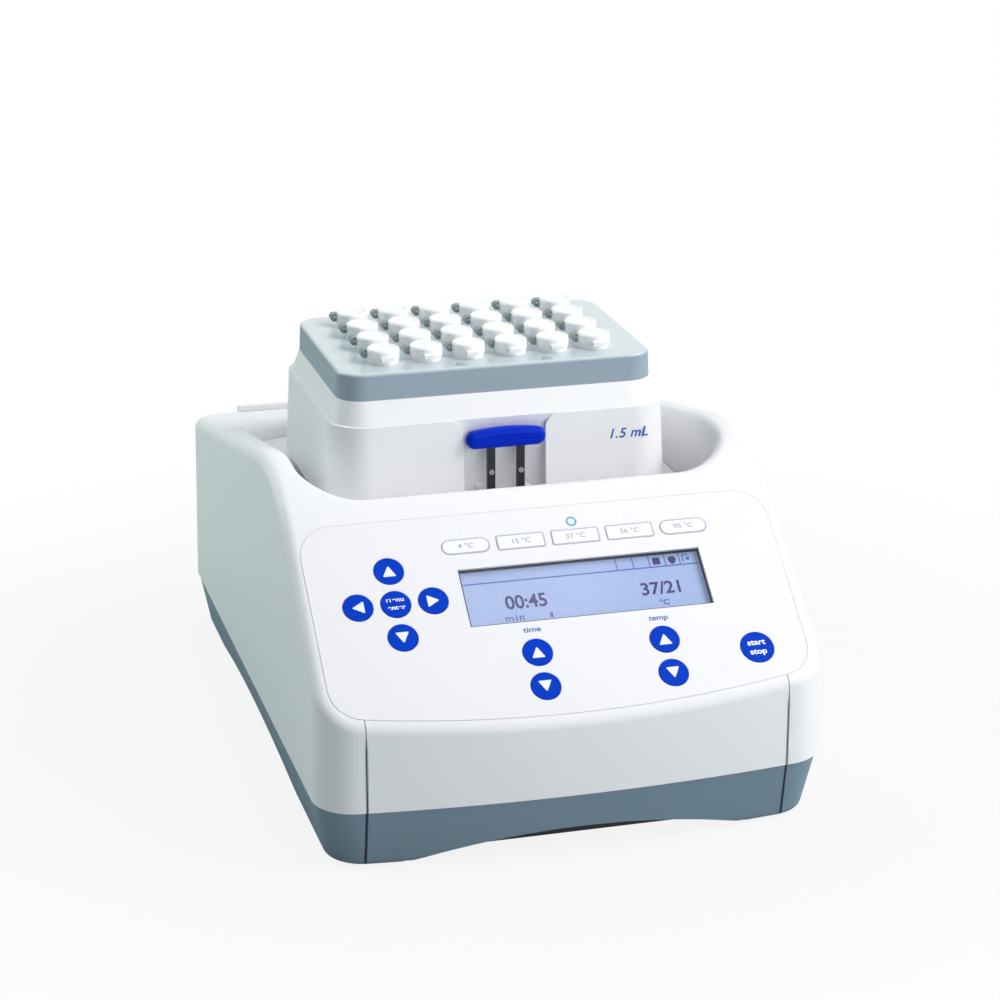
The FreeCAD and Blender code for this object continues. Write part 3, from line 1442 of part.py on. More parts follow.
def notch_space(name, half, deeper):
    """The space in front of the notch's back, which slopes from the band above down into the block."""
    body = doc.addObject("PartDesign::Body", name)
    front = "(-body_depth / 2)"
    outline = [
        (front, "skirt_bottom - past"),
        (f"{notch_low} + {deeper}", "skirt_bottom - past"),
        (f"{notch_high} + {deeper}", "ledge_height"),
        (front, "ledge_height"),
    ]
    pad(body, name + "_pad", draw(sketch_on(body, name + "_outline", "YZ_Plane"), outline), f"2 * ({half})",
        midplane=True)
    return body


notch_reach = "notch_half + notch_flare"
notch_tool = common("notch_tool", notch, notch_space("notch_space", notch_reach, "0"))
notch_wall = common("notch_wall", skirt, notch_space("notch_backing", notch_reach + " + skirt_thick", "skirt_thick"))
ears = []
for side in (-1, 1):
    ears.append(slab("pivot_ear", "ear_wide", f"{notch_low} + past - (lever_y - ear_height / 2)", "ear_height",
                     f"{side} * (leg_x + leg_wide / 2 + ear_gap + ear_wide / 2)",
                     f"({notch_low} + past + lever_y - ear_height / 2) / 2", "pivot_height - ear_height / 2"))
pin_hole = place(cylinder("pin_hole", "pivot_radius", "2 * notch_half"), "-notch_half", "lever_y", "pivot_height",
                 "y", "90")
skirt_shell = cut("skirt_shell", skirt, [skirt_void])
skirt_open = cut("skirt_open", fuse("skirt_with_notch", [skirt_shell, notch_wall]), [notch_tool])
keep("block_skirt", cut("block_skirt_solid", fuse("skirt_with_ears", [skirt_open] + ears), [pin_hole]))
pin_length = "2 * (leg_x + leg_wide / 2 + ear_gap + ear_wide)"
pin = place(cylinder("lever_pin_solid", "pivot_radius", pin_length), f"-({pin_length}) / 2", "lever_y",
            "pivot_height", "y", "90")
keep("lever_pin", pin)


# Release lever: two flat legs on the pivot pin, riveted to a rounded grip

legs = []
rivets = []
for side in (-1, 1):
    leg = slab("lever_leg", "leg_wide", "leg_deep", "grip_height - pivot_height", f"{side} * leg_x", "lever_y",
               "pivot_height")
    eye = place(cylinder("leg_eye", "leg_eye", "leg_wide"), f"{side} * leg_x - leg_wide / 2", "lever_y",
                "pivot_height", "y", "90")
    bore = place(cylinder("leg_bore", "pivot_radius + fit_gap", "leg_wide + 2 * past"),
                 f"{side} * leg_x - leg_wide / 2 - past", "lever_y", "pivot_height", "y", "90")
    rivet_bore = place(cylinder("rivet_bore", "rivet_radius", "leg_deep + 2 * past"), f"{side} * leg_x",
                       "lever_y + leg_deep / 2 + past", "rivet_height", "x", "90")
    legs.append(cut("lever_leg_cut", fuse("lever_leg_blank", [leg, eye]), [bore, rivet_bore]))
    rivets.append(place(cylinder("rivet", "rivet_radius", "leg_deep + rivet_proud"), f"{side} * leg_x",
                        "lever_y + leg_deep / 2", "rivet_height", "x", "90"))
keep("lever_rivets", group("lever_rivet_set", rivets))
grip_core = doc.addObject("PartDesign::Body", "grip_form")
grip_radius = "grip_tall / 2"
grip_outline = [
    (f"-grip_half + {grip_radius}", f"-{grip_radius}"),
    (f"grip_half - {grip_radius}", f"-{grip_radius}", grip_radius + " + hair"),
    (f"grip_half - {grip_radius}", grip_radius, "grip_bow"),
    (f"-grip_half + {grip_radius}", grip_radius, grip_radius + " + hair"),
]
grip_pad = pad(grip_core, "grip_pad", draw(sketch_on(grip_core, "grip_outline", "XZ_Plane"), grip_outline),
               "grip_deep", midplane=True)


def grip_face_edge(edge):
    """An edge round the grip's front or rear face."""
    return abs(middle(edge).y) > number("grip_deep") / 4


fillet(grip_core, "grip_rounding", grip_pad, grip_face_edge, "grip_round")
place(grip_core, "0", "lever_y", "grip_height")
leg_slots = []
for side in (-1, 1):
    leg_slots.append(slab("leg_slot", "leg_wide", "leg_deep", "grip_tall", f"{side} * leg_x", "lever_y",
                          "grip_height - grip_tall"))
keep("lever_grip", cut("lever_grip_solid", grip_core, leg_slots))
keep("lever_legs", group("lever_leg_set", legs))


# Tubes in rows of six: body, collar and lid in one outline, with a thumb tab at the front

def lid_outline():
    """Half outline of a whole tube: cone, wall, collar and rounded lid."""
    body_line = tube_outline("0")[:-2]
    lid_low = "collar_height"
    lid_high = "(collar_height + lid_height)"
    return body_line + [
        ("tube_radius", "0"),
        ("collar_radius", "0"),
        ("collar_radius", lid_low),
        ("lid_radius", lid_low),
        ("lid_radius", f"{lid_high} - lid_round", "lid_round"),
        ("lid_radius - lid_round", lid_high),
        ("lid_radius - 2 * lid_round", f"{lid_high} - lid_dish"),
        ("0", f"{lid_high} - lid_dish"),
    ]


tube_form = tube_revolution("tube_form", lid_outline())
tab = slab("lid_tab", "tab_wide", "tab_long", "tab_thick", "0", "-lid_radius - tab_reach + tab_long / 2",
           "collar_height + tab_rise")
tube_solid = fuse("tube_solid", [tube_form, tab])
for row in range(int(number("tube_rows"))):
    in_row = [tube for tube in TUBES if tube[0] == row]
    keep(f"tube_row_{row + 1}", group(f"tube_row_{row + 1}_set", spread("tube", tube_solid, in_row)))


# Check every object, then write each piece

doc.recompute()
faults = []
for item in doc.Objects:
    if "Invalid" in item.State or "Error" in item.State:
        faults.append(f"{item.Name}: {item.State}")
for item in pieces:
    if item.Shape.isNull() or not item.Shape.isValid() or not item.Shape.Solids:
        faults.append(f"{item.Label}: shape is not sound")
if faults:
    raise RuntimeError("; ".join(faults))

os.makedirs("parts", exist_ok=True)
for item in pieces:
    item.Shape.exportStep(os.path.join("parts", item.Label + ".step"))
    extent = item.Shape.BoundBox
    print(f"{item.Label}: {len(item.Shape.Solids)} solids, {item.Shape.Volume:.0f} mm3, "
          f"x {extent.XMin:.1f}..{extent.XMax:.1f} y {extent.YMin:.1f}..{extent.YMax:.1f} "
          f"z {extent.ZMin:.1f}..{extent.ZMax:.1f}")
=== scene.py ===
# %% [markdown]
# A bench dry bath: a white moulded housing on a grey base, with a sloping key panel and a lift-off
# block of small tubes in a well. The solid forms come ready made, in metres, with X to the right,
# Y to the back and Z up. What this lesson adds is the finish of each piece and the printing on it.

import json
import math

import bpy
from mathutils import Matrix, Vector


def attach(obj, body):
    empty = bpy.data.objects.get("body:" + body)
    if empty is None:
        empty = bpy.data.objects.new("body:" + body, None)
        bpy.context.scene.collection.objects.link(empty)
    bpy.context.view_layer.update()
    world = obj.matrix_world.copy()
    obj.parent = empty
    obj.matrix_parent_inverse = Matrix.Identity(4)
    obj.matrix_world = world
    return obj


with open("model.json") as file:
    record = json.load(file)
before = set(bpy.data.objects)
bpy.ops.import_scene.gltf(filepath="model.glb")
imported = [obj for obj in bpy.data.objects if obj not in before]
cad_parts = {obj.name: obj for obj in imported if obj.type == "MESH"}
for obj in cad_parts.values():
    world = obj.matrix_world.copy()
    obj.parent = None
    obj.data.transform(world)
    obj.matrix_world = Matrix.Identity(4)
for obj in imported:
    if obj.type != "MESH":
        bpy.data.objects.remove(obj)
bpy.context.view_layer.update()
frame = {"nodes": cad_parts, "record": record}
nodes = frame["nodes"]

# %% [markdown]
# The camera. A product photograph is taken from far off with a long lens, so that upright edges
# stay nearly parallel. The place and the lens were solved from the corners of the housing, and the
# turn is written as an azimuth and an elevation, which is how a person would set a tripod.

# %% Camera
AZIMUTH = -15.37
ELEVATION = 18.92
LENS = 100.79
SENSOR_WIDTH = 36

camera = bpy.data.objects.new("camera", bpy.data.cameras.new("camera"))
bpy.context.scene.collection.objects.link(camera)
camera.location = (-0.29263, -1.09261, 0.48316)
camera.rotation_euler = (math.radians(90 - ELEVATION), 0, math.radians(AZIMUTH))
camera.data.lens = LENS
camera.data.sensor_width = SENSOR_WIDTH
bpy.context.scene.camera = camera
print("camera", round(camera.location.length, 3), "m from the origin, lens", LENS)

# %% [markdown]
# Colours are read off a screen as three numbers up to 255, but a shader works with light, where
# half the number isn't half the light. This helper turns the one into the other, so that every
# colour below is written the way that it looks.

# %% Colour helper


def screen(red, green, blue):
    """The colour of a screen value, as linear light with full alpha."""
    def linear(part):
        part = part / 255
        return part / 12.92 if part <= 0.04045 else ((part + 0.055) / 1.055) ** 2.4
    return (linear(red), linear(green), linear(blue), 1.0)


print("mid grey is", round(screen(128, 128, 128)[0], 3), "in linear light")

# %% [markdown]
# Shader arithmetic reads best as arithmetic. A Field is a number that changes over the surface,
# held as the output of a node. Adding or multiplying two of them makes the Math node that does
# it, so a mask can be written as 1 - grain * 0.2 and not as a page of links. A sum with the
# number first and a comparison turned round work too.

# %% Fields that do arithmetic


class Field:
    """A value over a surface, with the node output that carries it."""

    def __init__(self, finish, socket):
        self.finish = finish
        self.socket = socket

    def maths(self, operation, *values):
        """The result of one Math node on fields and numbers."""
        settings = {"operation": operation}
        return self.finish.node("Math", settings, dict(enumerate(values)))

    def __add__(self, other):
        return self.maths("ADD", self, other)

    def __radd__(self, other):
        return self.maths("ADD", other, self)

    def __sub__(self, other):
        return self.maths("SUBTRACT", self, other)

    def __rsub__(self, other):
        return self.maths("SUBTRACT", other, self)

    def __mul__(self, other):
        return self.maths("MULTIPLY", self, other)

    def __rmul__(self, other):
        return self.maths("MULTIPLY", other, self)

    def __pow__(self, other):
        return self.maths("POWER", self, other)

    def __rpow__(self, other):
        return self.maths("POWER", other, self)

    def __gt__(self, other):
        return self.maths("GREATER_THAN", self, other)

    def __lt__(self, other):
        return self.maths("LESS_THAN", self, other)

    def __abs__(self):
        return self.maths("ABSOLUTE", self)


print("Field knows", [name for name in vars(Field) if name.startswith("__")])

# %% [markdown]
# A Finish is one material. It has a single way to make a node: its type, its settings, and what
# goes into its sockets. The recipes after that are what any hard surface needs: one coordinate of
# the place, a grain from noise, a choice between two colours, and a bump for the light to catch.

# %% One material and its nodes


class Finish:
    """A material, or the sky, under construction on coordinates in metres."""

    def __init__(self, name, library=bpy.data.materials):
        self.material = library.new(name)
        self.material.use_nodes = True
        self.tree = self.material.node_tree
        self.tree.nodes.clear()
        self.place = self.node("TexCoord", {}, {}, "Object")

    def node(self, kind, settings, inputs, output=0):
        """Make a node, set it, feed it, and hand back one of its outputs."""
        made = self.tree.nodes.new("ShaderNode" + kind)
        for name, value in settings.items():
            setattr(made, name, value)
        for name, value in inputs.items():
            if isinstance(value, Field):
                self.tree.links.new(value.socket, made.inputs[name])
            else:
                made.inputs[name].default_value = value
        return Field(self, made.outputs[output])

    def along(self, axis, place=None):
        """One coordinate of the place: X, Y or Z."""
        return self.node("SeparateXYZ", {}, {"Vector": place or self.place}, axis)

    def rise(self, value, start, end, shape="LINEAR"):
        """Zero where the value is at the start or before it, and one from the end on."""
        limits = {"Value": value, "From Min": start, "From Max": end}
        return self.node("MapRange", {"interpolation_type": shape}, limits)

    def grain(self, cells, detail=2.0, stretch=(1, 1, 1)):
        """Noise with so many cells to a metre, drawn out along an axis if asked."""
        place = self.node("Mapping", {}, {"Vector": self.place, "Scale": stretch})
        return self.node("TexNoise", {}, {"Vector": place, "Scale": cells, "Detail": detail})

    def blend(self, share, first, second):
        """The first colour where the share is 0, and the second where it is 1."""
        inputs = {"Factor": share, 6: first, 7: second}
        return self.node("Mix", {"data_type": "RGBA"}, inputs, 2)

    def relief(self, height, depth, strength=0.5):
        """A bump of a height field, as deep as the given metres."""
        return self.node("Bump", {}, {"Height": height, "Distance": depth, "Strength": strength})

    def surface(self, **inputs):
        """Close the material with the general shader."""
        named = {name.replace("_", " "): value for name, value in inputs.items()}
        self.close(self.node("BsdfPrincipled", {}, named))
        return self.material

    def close(self, shader, kind="Material"):
        """Hand the finished shader to the output."""
        out = self.tree.nodes.new("ShaderNodeOutput" + kind)
        self.tree.links.new(shader.socket, out.inputs["Surface"])


print("a Finish makes along, rise, grain, blend, relief and surface")

# %% [markdown]
# Moulded plastic. An injection mould is spark-eroded, and every part that leaves it carries that
# fine grain. It is far too small to model, so it is a bump of half-millimetre cells. The colour
# drifts a little, as pigment does, and handling polishes some places more than others. White
# housing, grey base and the black small parts are one process, so one function makes them. Beside
# the two seams down the front the colour is darker: partly dust, and partly painted shade of the
# gap.

# %% Moulded plastic
SEAM_X = 0.0848
SEAM_REACH = 0.0006
SEAM_FRONT = -0.135
SEAM_TOP, SEAM_FULL = 0.0572, 0.051
DRIFT_CELLS, HANDLED_CELLS, ERODED_CELLS = 9, 38, 1900
ERODED_DEPTH = 0.00004


# This mask marks where the shade of the seam gaps is painted on, together with dust.
def seam_shade(finish):
    """One along the edges of the two front seams, and zero elsewhere."""
    across = finish.along("X")
    back = finish.along("Y")
    height = finish.along("Z")
    near = abs(abs(across) - SEAM_X) < SEAM_REACH
    return near * (back < SEAM_FRONT) * finish.rise(height, SEAM_TOP, SEAM_FULL)


def moulded(name, colour, tint, rough, dust_and_painted_shade=None, gloss=0.5):
    """Plastic with a spark-eroded grain; the tint is its colour where pigment gathers."""
    finish = Finish(name)
    drift = finish.grain(DRIFT_CELLS, 3)
    handled = finish.grain(HANDLED_CELLS, 4)
    eroded = finish.grain(ERODED_CELLS)
    plain = finish.blend(drift * 0.8 + handled * 0.2, colour, tint)
    # Beside the front seams the colour goes towards the darker seam colour: dust and painted shade.
    return finish.surface(
        Base_Color=finish.blend(seam_shade(finish) * 0.7, plain, dust_and_painted_shade) if dust_and_painted_shade else plain,
        Roughness=rough - 0.05 + handled * 0.1 + eroded * 0.04,
        IOR=1.5,
        Specular_IOR_Level=gloss,
        Normal=finish.relief(eroded, ERODED_DEPTH),
    )


# The darker seam colours below are partly dust and partly painted shade of the seam gaps.
white_plastic = moulded("white_plastic", screen(244, 243, 245), screen(239, 240, 242), 0.42,
                        dust_and_painted_shade=screen(108, 120, 124))
grey_plastic = moulded("grey_plastic", screen(128, 149, 164), screen(119, 140, 155), 0.44,
                       dust_and_painted_shade=screen(30, 36, 42), gloss=0.18)
black_plastic = moulded("black_plastic", screen(22, 23, 26), screen(16, 17, 19), 0.38)
print("moulded finishes:", white_plastic.name, grey_plastic.name, black_plastic.name)

# %% [markdown]
# The block's plate. Its top is smoother and glossier than its band, and is painted paler, as
# painted light, while the band is painted a darker grey, as painted shade. The two meet at the top
# edge, so the height alone says which one shows.

# %% Plate of the block
PLATE_EDGE, PLATE_PAINTED_TOP = 0.1622, 0.1634


def plate_painted_top_light(name, band, shaded, top):
    """Moulded grey, with a smoother top above the plate's edge painted paler as light, and the band
    darker as painted shade.
    """
    finish = Finish(name)
    smooth_top_painted_light = finish.rise(finish.along("Z"), PLATE_EDGE, PLATE_PAINTED_TOP)
    drift = finish.grain(DRIFT_CELLS, 3)
    eroded = finish.grain(ERODED_CELLS)
    side = finish.blend(drift * 0.3, band, shaded)
    # The paler top is painted light, and the darker band is painted shade.
    return finish.surface(
        Base_Color=finish.blend(smooth_top_painted_light * (0.92 + drift * 0.16), side, top),
        Roughness=0.40 - smooth_top_painted_light * 0.14 + eroded * 0.04,
        Coat_Weight=smooth_top_painted_light * 0.5,
        Coat_Roughness=0.22,
        Normal=finish.relief(eroded, ERODED_DEPTH),
    )


# The band's grey is painted shade, and the top's pale grey is painted light.
plate_grey = plate_painted_top_light("plate_grey", screen(150, 168, 180), screen(132, 150, 162),
                        screen(201, 213, 217))
print("plate finish:", plate_grey.name)

# %% [markdown]
# The panel film and the keys. The whole slope is covered by one printed polyester film with a
# satin face, and the keys are raised spots of it. Film is smoother than moulded plastic and lies
# in very slight waves over its adhesive, which only show in the gloss.

# %% Printed film
WAVE_CELLS, SATIN_CELLS = 60, 4200


def film(name, colour, tint, rough, gloss=0.5):
    """Printed polyester film: satin, with faint waves from the adhesive under it."""
    finish = Finish(name)
    waves = finish.grain(WAVE_CELLS, 1)
    satin = finish.grain(SATIN_CELLS, 1)
    return finish.surface(
        Base_Color=finish.blend(waves, colour, tint),
        Roughness=rough + satin * 0.06,
        Specular_IOR_Level=gloss,
        Normal=finish.relief(waves * 0.7 + satin * 0.05, 0.00006, 0.4),
    )


panel_film = film("panel_film", screen(243, 242, 245), screen(240, 240, 244), 0.36)
key_blue = film("key_blue", screen(0, 68, 206), screen(0, 58, 196), 0.34, gloss=0.05)
preset_white = film("preset_white", screen(249, 248, 251), screen(247, 247, 250), 0.32)
print("films:", panel_film.name, key_blue.name, preset_white.name)

# %% [markdown]
# Inks. Screen-printed marks are flat colour with a dry, slightly uneven face. White goes on the
# keys, blue on the film and the block, light blue round the lit lamp, two pale greys on the
# presets, and a darker grey on the block's plate.

# %% Inks


def ink(name, colour, faded):
    """Printing ink, a little uneven where the mesh of the screen held it back."""
    finish = Finish(name)
    mesh = finish.grain(2600, 1)
    return finish.surface(Base_Color=finish.blend(mesh, colour, faded), Roughness=0.5 + mesh * 0.1)


white_ink = ink("white_ink", screen(250, 250, 252), screen(243, 244, 248))
blue_ink = ink("blue_ink", screen(20, 78, 172), screen(30, 88, 180))
light_ink = ink("light_ink", screen(70, 160, 210), screen(84, 170, 216))
pale_ink = ink("pale_ink", screen(168, 177, 205), screen(178, 186, 211))
faint_ink = ink("faint_ink", screen(172, 178, 196), screen(182, 188, 204))
mark_ink = ink("mark_ink", screen(148, 166, 180), screen(156, 174, 187))
print("inks:", white_ink.name, blue_ink.name, light_ink.name, pale_ink.name, faint_ink.name,
      mark_ink.name)

# %% [markdown]
# Metals. Sheet and turned metal show the direction in which they were worked, so their grain is
# noise stretched along one axis. Machined aluminium is the block and the heatsink, bright steel
# is screws and pins, and the lever's legs and the underside plate are painted black.

# %% Metals


def worked_metal(name, colour, dull, rough, stretch):
    """Bare metal with tool marks along one axis."""
    finish = Finish(name)
    marks = finish.grain(900, 3, stretch)
    stain = finish.grain(24, 3)
    return finish.surface(
        Base_Color=finish.blend(stain * 0.7 + marks * 0.3, colour, dull),
        Metallic=1.0,
        Roughness=rough + marks * 0.14,
        Normal=finish.relief(marks, 0.00002),
    )


def painted_metal(name, colour, tint, rough):
    """Powder-coated sheet: an orange-peel skin over metal."""
    finish = Finish(name)
    peel = finish.grain(1100)
    drift = finish.grain(20)
    return finish.surface(
        Base_Color=finish.blend(drift, colour, tint),
        Roughness=rough + peel * 0.1,
        Normal=finish.relief(peel, 0.00003),
    )


bright_steel = worked_metal("bright_steel", screen(196, 198, 201), screen(176, 178, 182), 0.24,
                            stretch=(1, 1, 6))
machined = worked_metal("machined_aluminium", screen(214, 216, 219), screen(196, 198, 203), 0.30,
                        stretch=(0.2, 6, 1))
black_steel = painted_metal("black_steel", screen(22, 24, 30), screen(30, 32, 38), 0.34)
dark_sheet = painted_metal("dark_sheet", screen(40, 42, 46), screen(48, 50, 54), 0.45)
print("metals:", bright_steel.name, machined.name, black_steel.name, dark_sheet.name)

# %% [markdown]
# Tubes, grip, rubber and the small parts inside. Polypropylene is milky because light wanders in
# it, so the tubes get a little subsurface, and the straps of their lids are the same plastic in a
# grey-green of painted shade. The lever's grip is a saturated blue, as satin as the film of the
# keys.
# Circuit boards are green lacquer over a fine weave of glass cloth, and rubber is simply dry.

# %% Tubes, grip, rubber and inner parts
THREADS = 380


def milky(name, colour, tint):
    """Natural polypropylene, a little cloudy."""
    finish = Finish(name)
    cloud = finish.grain(160, 3)
    return finish.surface(
        Base_Color=finish.blend(cloud, colour, tint),
        Roughness=0.26 + cloud * 0.1,
        Subsurface_Weight=0.25,
        Subsurface_Radius=(0.003, 0.003, 0.003),
        Normal=finish.relief(cloud, 0.00004, 0.3),
    )


def woven_board(name, colour, tint):
    """Green lacquer over glass cloth: two crossed sets of threads."""
    finish = Finish(name)
    woven = {"Vector": finish.place, "Scale": THREADS}
    warp = finish.node("TexWave", {"bands_direction": "X"}, woven)
    weft = finish.node("TexWave", {"bands_direction": "Y"}, woven)
    cloth = warp * weft
    return finish.surface(
        Base_Color=finish.blend(cloth, colour, tint),
        Roughness=0.28 + cloth * 0.1,
        Normal=finish.relief(cloth, 0.00003, 0.4),
    )


tube_plastic = milky("tube_plastic", screen(250, 249, 252), screen(245, 245, 249))
# The straps are the tubes' own white plastic, given a grey-green that is painted shade.
hinge_painted_shade = milky("hinge_painted_shade", screen(128, 145, 142), screen(114, 131, 129))
grip_blue = film("grip_blue", screen(0, 46, 202), screen(0, 40, 192), 0.26, gloss=0.07)
light_pipe = film("light_pipe", screen(240, 242, 246), screen(236, 239, 244), 0.3)
rubber = moulded("rubber", screen(38, 38, 40), screen(46, 46, 48), 0.75)
ceramic = moulded("ceramic", screen(236, 236, 232), screen(228, 229, 226), 0.5)
circuit_green = woven_board("circuit_green", screen(24, 92, 54), screen(34, 108, 66))
print("small finishes:", tube_plastic.name, hinge_painted_shade.name, grip_blue.name, light_pipe.name,
      rubber.name, ceramic.name, circuit_green.name)

# %% [markdown]
# The display. A back-lit graphic display is a pale blue field of tiny square cells with dark
# lines between them, bright enough to be seen in a lit room. The cells are made by wrapping the
# panel's own coordinates every half millimetre, which gives the grid without drawing it.

# %% Display face
PANEL_ANGLE = math.radians(38.9)
CELL = 0.00052
GAP = CELL * 0.05


def display_face(name):
    """A lit field of square cells on the slope."""
    finish = Finish(name)
    turned = finish.node("Mapping", {},
                         {"Vector": finish.place, "Rotation": (-PANEL_ANGLE, 0, 0)})
    across = finish.along("X", turned)
    upward = finish.along("Y", turned)
    gap_x = across.maths("PINGPONG", across, CELL / 2) < GAP
    gap_y = upward.maths("PINGPONG", upward, CELL / 2) < GAP
    gaps = gap_x + gap_y - gap_x * gap_y
    uneven = finish.grain(14, 1)
    lit = finish.blend(uneven, screen(148, 165, 200), screen(161, 178, 211))
    field = finish.blend(gaps * 0.35, lit, screen(128, 146, 190))
    return finish.surface(Base_Color=field, Roughness=0.4 + uneven * 0.1, Emission_Color=field,
                          Emission_Strength=0.25)


def clear_sheet(name):
    """A clear window: the light passes, and only the gloss shows, most where seen aslant."""
    finish = Finish(name)
    smear = finish.grain(30)
    aslant = finish.node("LayerWeight", {}, {"Blend": 0.5}, "Facing")
    rim = aslant ** 5.0 * 0.9 + 0.02
    passing = finish.node("BsdfTransparent", {}, {"Color": (0.97, 0.98, 1.0, 1.0)})
    gloss = finish.node("BsdfAnisotropic", {},
                        {"Color": (1, 1, 1, 1), "Roughness": 0.05 + smear * 0.05})
    finish.close(finish.node("MixShader", {}, {0: rim, 1: passing, 2: gloss}))
    return finish.material


display_field = display_face("display_field")
clear_window = clear_sheet("clear_window")
navy_cells = ink("navy_cells", screen(10, 14, 88), screen(18, 22, 98))
line_cells = ink("line_cells", screen(66, 88, 166), screen(74, 96, 174))
border_ink = ink("border_ink", screen(58, 66, 92), screen(66, 74, 100))
print("display:", display_field.name, clear_window.name, navy_cells.name, line_cells.name,
      border_ink.name)

# %% [markdown]
# Give each ready-made solid its finish. The record names a slot for every node, and one table
# from slot to material dresses them all. A mesh's material list is cleared first, so that no
# plain colour from the import is left under the new one.

# %% Dress the solids
FINISHES = {
    "white_plastic": white_plastic,
    "grey_plastic": grey_plastic,
    "block_grey": plate_grey,
    "overlay_film": panel_film,
    "blue_key": key_blue,
    "preset_key": preset_white,
    "blue_plastic": grip_blue,
    "black_plastic": black_plastic,
    "clear_window": clear_window,
    "display_face": display_field,
    "circuit_board": circuit_green,
    "light_pipe": light_pipe,
    "rubber": rubber,
    "steel": bright_steel,
    "black_steel": black_steel,
    "dark_sheet": dark_sheet,
    "aluminium": machined,
    "ceramic_white": ceramic,
    "tube_plastic": tube_plastic,
}

for part in frame["record"]["subparts"]:
    solid = nodes[part["node"]]
    solid.data.materials.clear()
    solid.data.materials.append(FINISHES[part["material_slot"]])

# %% [markdown]
# Printing is easiest on the slope's own sheet of paper. One matrix carries millimetres across
# and up the slope into the model, and a third number lifts a mark off the surface. A sheet is
# then three things: the slot and the body of what is printed on, and that matrix.

# %% Sheets to print on
MM = 0.001
SLOPE = Matrix.Translation((0, -0.152, 0.0564)) @ Matrix.Rotation(PANEL_ANGLE, 4, "X")
LEVEL = Matrix.Identity(4)
FILM = ("overlay_film", "housing", SLOPE)
DISPLAY = ("display_face", "housing", SLOPE)
PLATE = ("block_grey", "thermoblock", LEVEL)
KEY_TOP, FILM_TOP, FILM_WORDS = 0.35, 0.15, 0.16


def on_key(key):
    """The top of a key, which goes down with the key."""
    return ("overlay_film", "key_" + key, SLOPE)


print("the slope starts at", SLOPE.translation[:], "and rises",
      round(math.degrees(PANEL_ANGLE), 1), "degrees")

# %% [markdown]
# A mark is a real, very thin plate of ink, so it stays sharp at any distance and needs no
# picture. One outline makes a filled plate, and two outlines, one within the other, make a ring.

# %% Plates of ink
INK = 0.02


def new_mesh(points, faces):
    """A mesh of the given points and faces, which gets its name with its piece."""
    mesh = bpy.data.meshes.new("print")
    mesh.from_pydata(points, [], faces)
    mesh.update()
    return mesh


def ring_mesh(outer, inner, level):
    """A thin ring between two outlines with as many points, lined by quads."""
    count = len(outer)
    points = [(x, v, height) for height in (level, level + INK) for x, v in outer + inner]
    faces = []
    for index in range(count):
        after = (index + 1) % count
        low = [index, after, count + after, count + index]
        faces.append(low[::-1])
        faces.append([2 * count + corner for corner in low])
        faces.append([index, after, 2 * count + after, 2 * count + index])
        faces.append([3 * count + index, 3 * count + after, count + after, count + index])
    return new_mesh(points, faces)


def filled_mesh(outline, level, thick=INK):
    """A thin solid plate of one outline."""
    count = len(outline)
    points = [(x, v, height) for height in (level, level + thick) for x, v in outline]
    faces = [list(range(count))[::-1], list(range(count, 2 * count))]
    for index in range(count):
        after = (index + 1) % count
        faces.append([index, after, count + after, count + index])
    return new_mesh(points, faces)


def add_piece(name, mesh, finish, sheet):
    """Put a mesh, drawn in millimetres, on a sheet, and let it ride on the sheet's body."""
    slot, body, place = sheet
    mesh.name = name
    mesh.materials.append(finish)
    piece = bpy.data.objects.new(name, mesh)
    bpy.context.scene.collection.objects.link(piece)
    piece.matrix_world = place @ Matrix.Scale(MM, 4)
    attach(piece, body)


print("ink is", INK, "mm thick")

# %% [markdown]
# The keys' places, in millimetres across and up the slope. They are the same numbers that the
# solids were made from, so a triangle lands on the middle of its key.

# %% Places of the keys
NAV_X, NAV_V, PITCH = -63.3, 59.0, 15.0
TIME_X, TEMP_X, STEP_V = -12.2, 39.5, 31.7
START_X, START_V = 75.9, 23.9
PRESET_X, PRESET_V, PRESET_PITCH = 14.6, 82.2, 22.6

ARROWS = {
    "nav_up": (NAV_X, NAV_V + PITCH, 90),
    "nav_left": (NAV_X - PITCH, NAV_V, 180),
    "nav_right": (NAV_X + PITCH, NAV_V, 0),
    "nav_down": (NAV_X, NAV_V - PITCH, 270),
    "time_up": (TIME_X, STEP_V, 90),
    "time_down": (TIME_X, STEP_V - PITCH, 270),
    "temp_up": (TEMP_X, STEP_V, 90),
    "temp_down": (TEMP_X, STEP_V - PITCH, 270),
}
print(len(ARROWS), "arrow keys")

# %% [markdown]
# Arrow marks. Each is a white triangle with slightly rounded points, because ink spreads in the
# corners. The triangle is drawn pointing right and turned in quarter turns.

# %% Arrows on the keys
ARROW_WIDE, ARROW_LONG, ARROW_ROUND = 5.5, 4.9, 0.7
CORNER_SHARES = (0, 0.25, 0.5, 0.75, 1)


def rounded_triangle(x, v, wide, long, radius, turn):
    """A triangle about a middle that points along its turn, as a ring of points."""
    corners = [Vector((long / 2, 0)), Vector((-long / 2, wide / 2)), Vector((-long / 2, -wide / 2))]
    turned = Matrix.Rotation(math.radians(turn), 2)
    ring = []
    for index, corner in enumerate(corners):
        start = corner + (corners[index - 1] - corner).normalized() * radius
        end = corner + (corners[(index + 1) % 3] - corner).normalized() * radius
        for share in CORNER_SHARES:
            point = start.lerp(corner, share).lerp(corner.lerp(end, share), share)
            across, up = turned @ point
            ring.append((x + across, v + up))
    return ring


for key, (x, v, turn) in ARROWS.items():
    ring = rounded_triangle(x, v, ARROW_WIDE, ARROW_LONG, ARROW_ROUND, turn)
    add_piece("mark_" + key, filled_mesh(ring, KEY_TOP), white_ink, on_key(key))
print("arrows are", ARROW_WIDE, "by", ARROW_LONG, "mm")

# %% [markdown]
# Words. Blender's own plain face stands in for the maker's type. A text object can be extruded
# by a hair, and it rides on its key, so it goes down with it. Only general words and numbers
# are set: what a key does, the unit of a reading, the volume of a tube.

# %% Lettering
CAPITALS = 0.7  # how tall a capital is in this face, as a share of the size


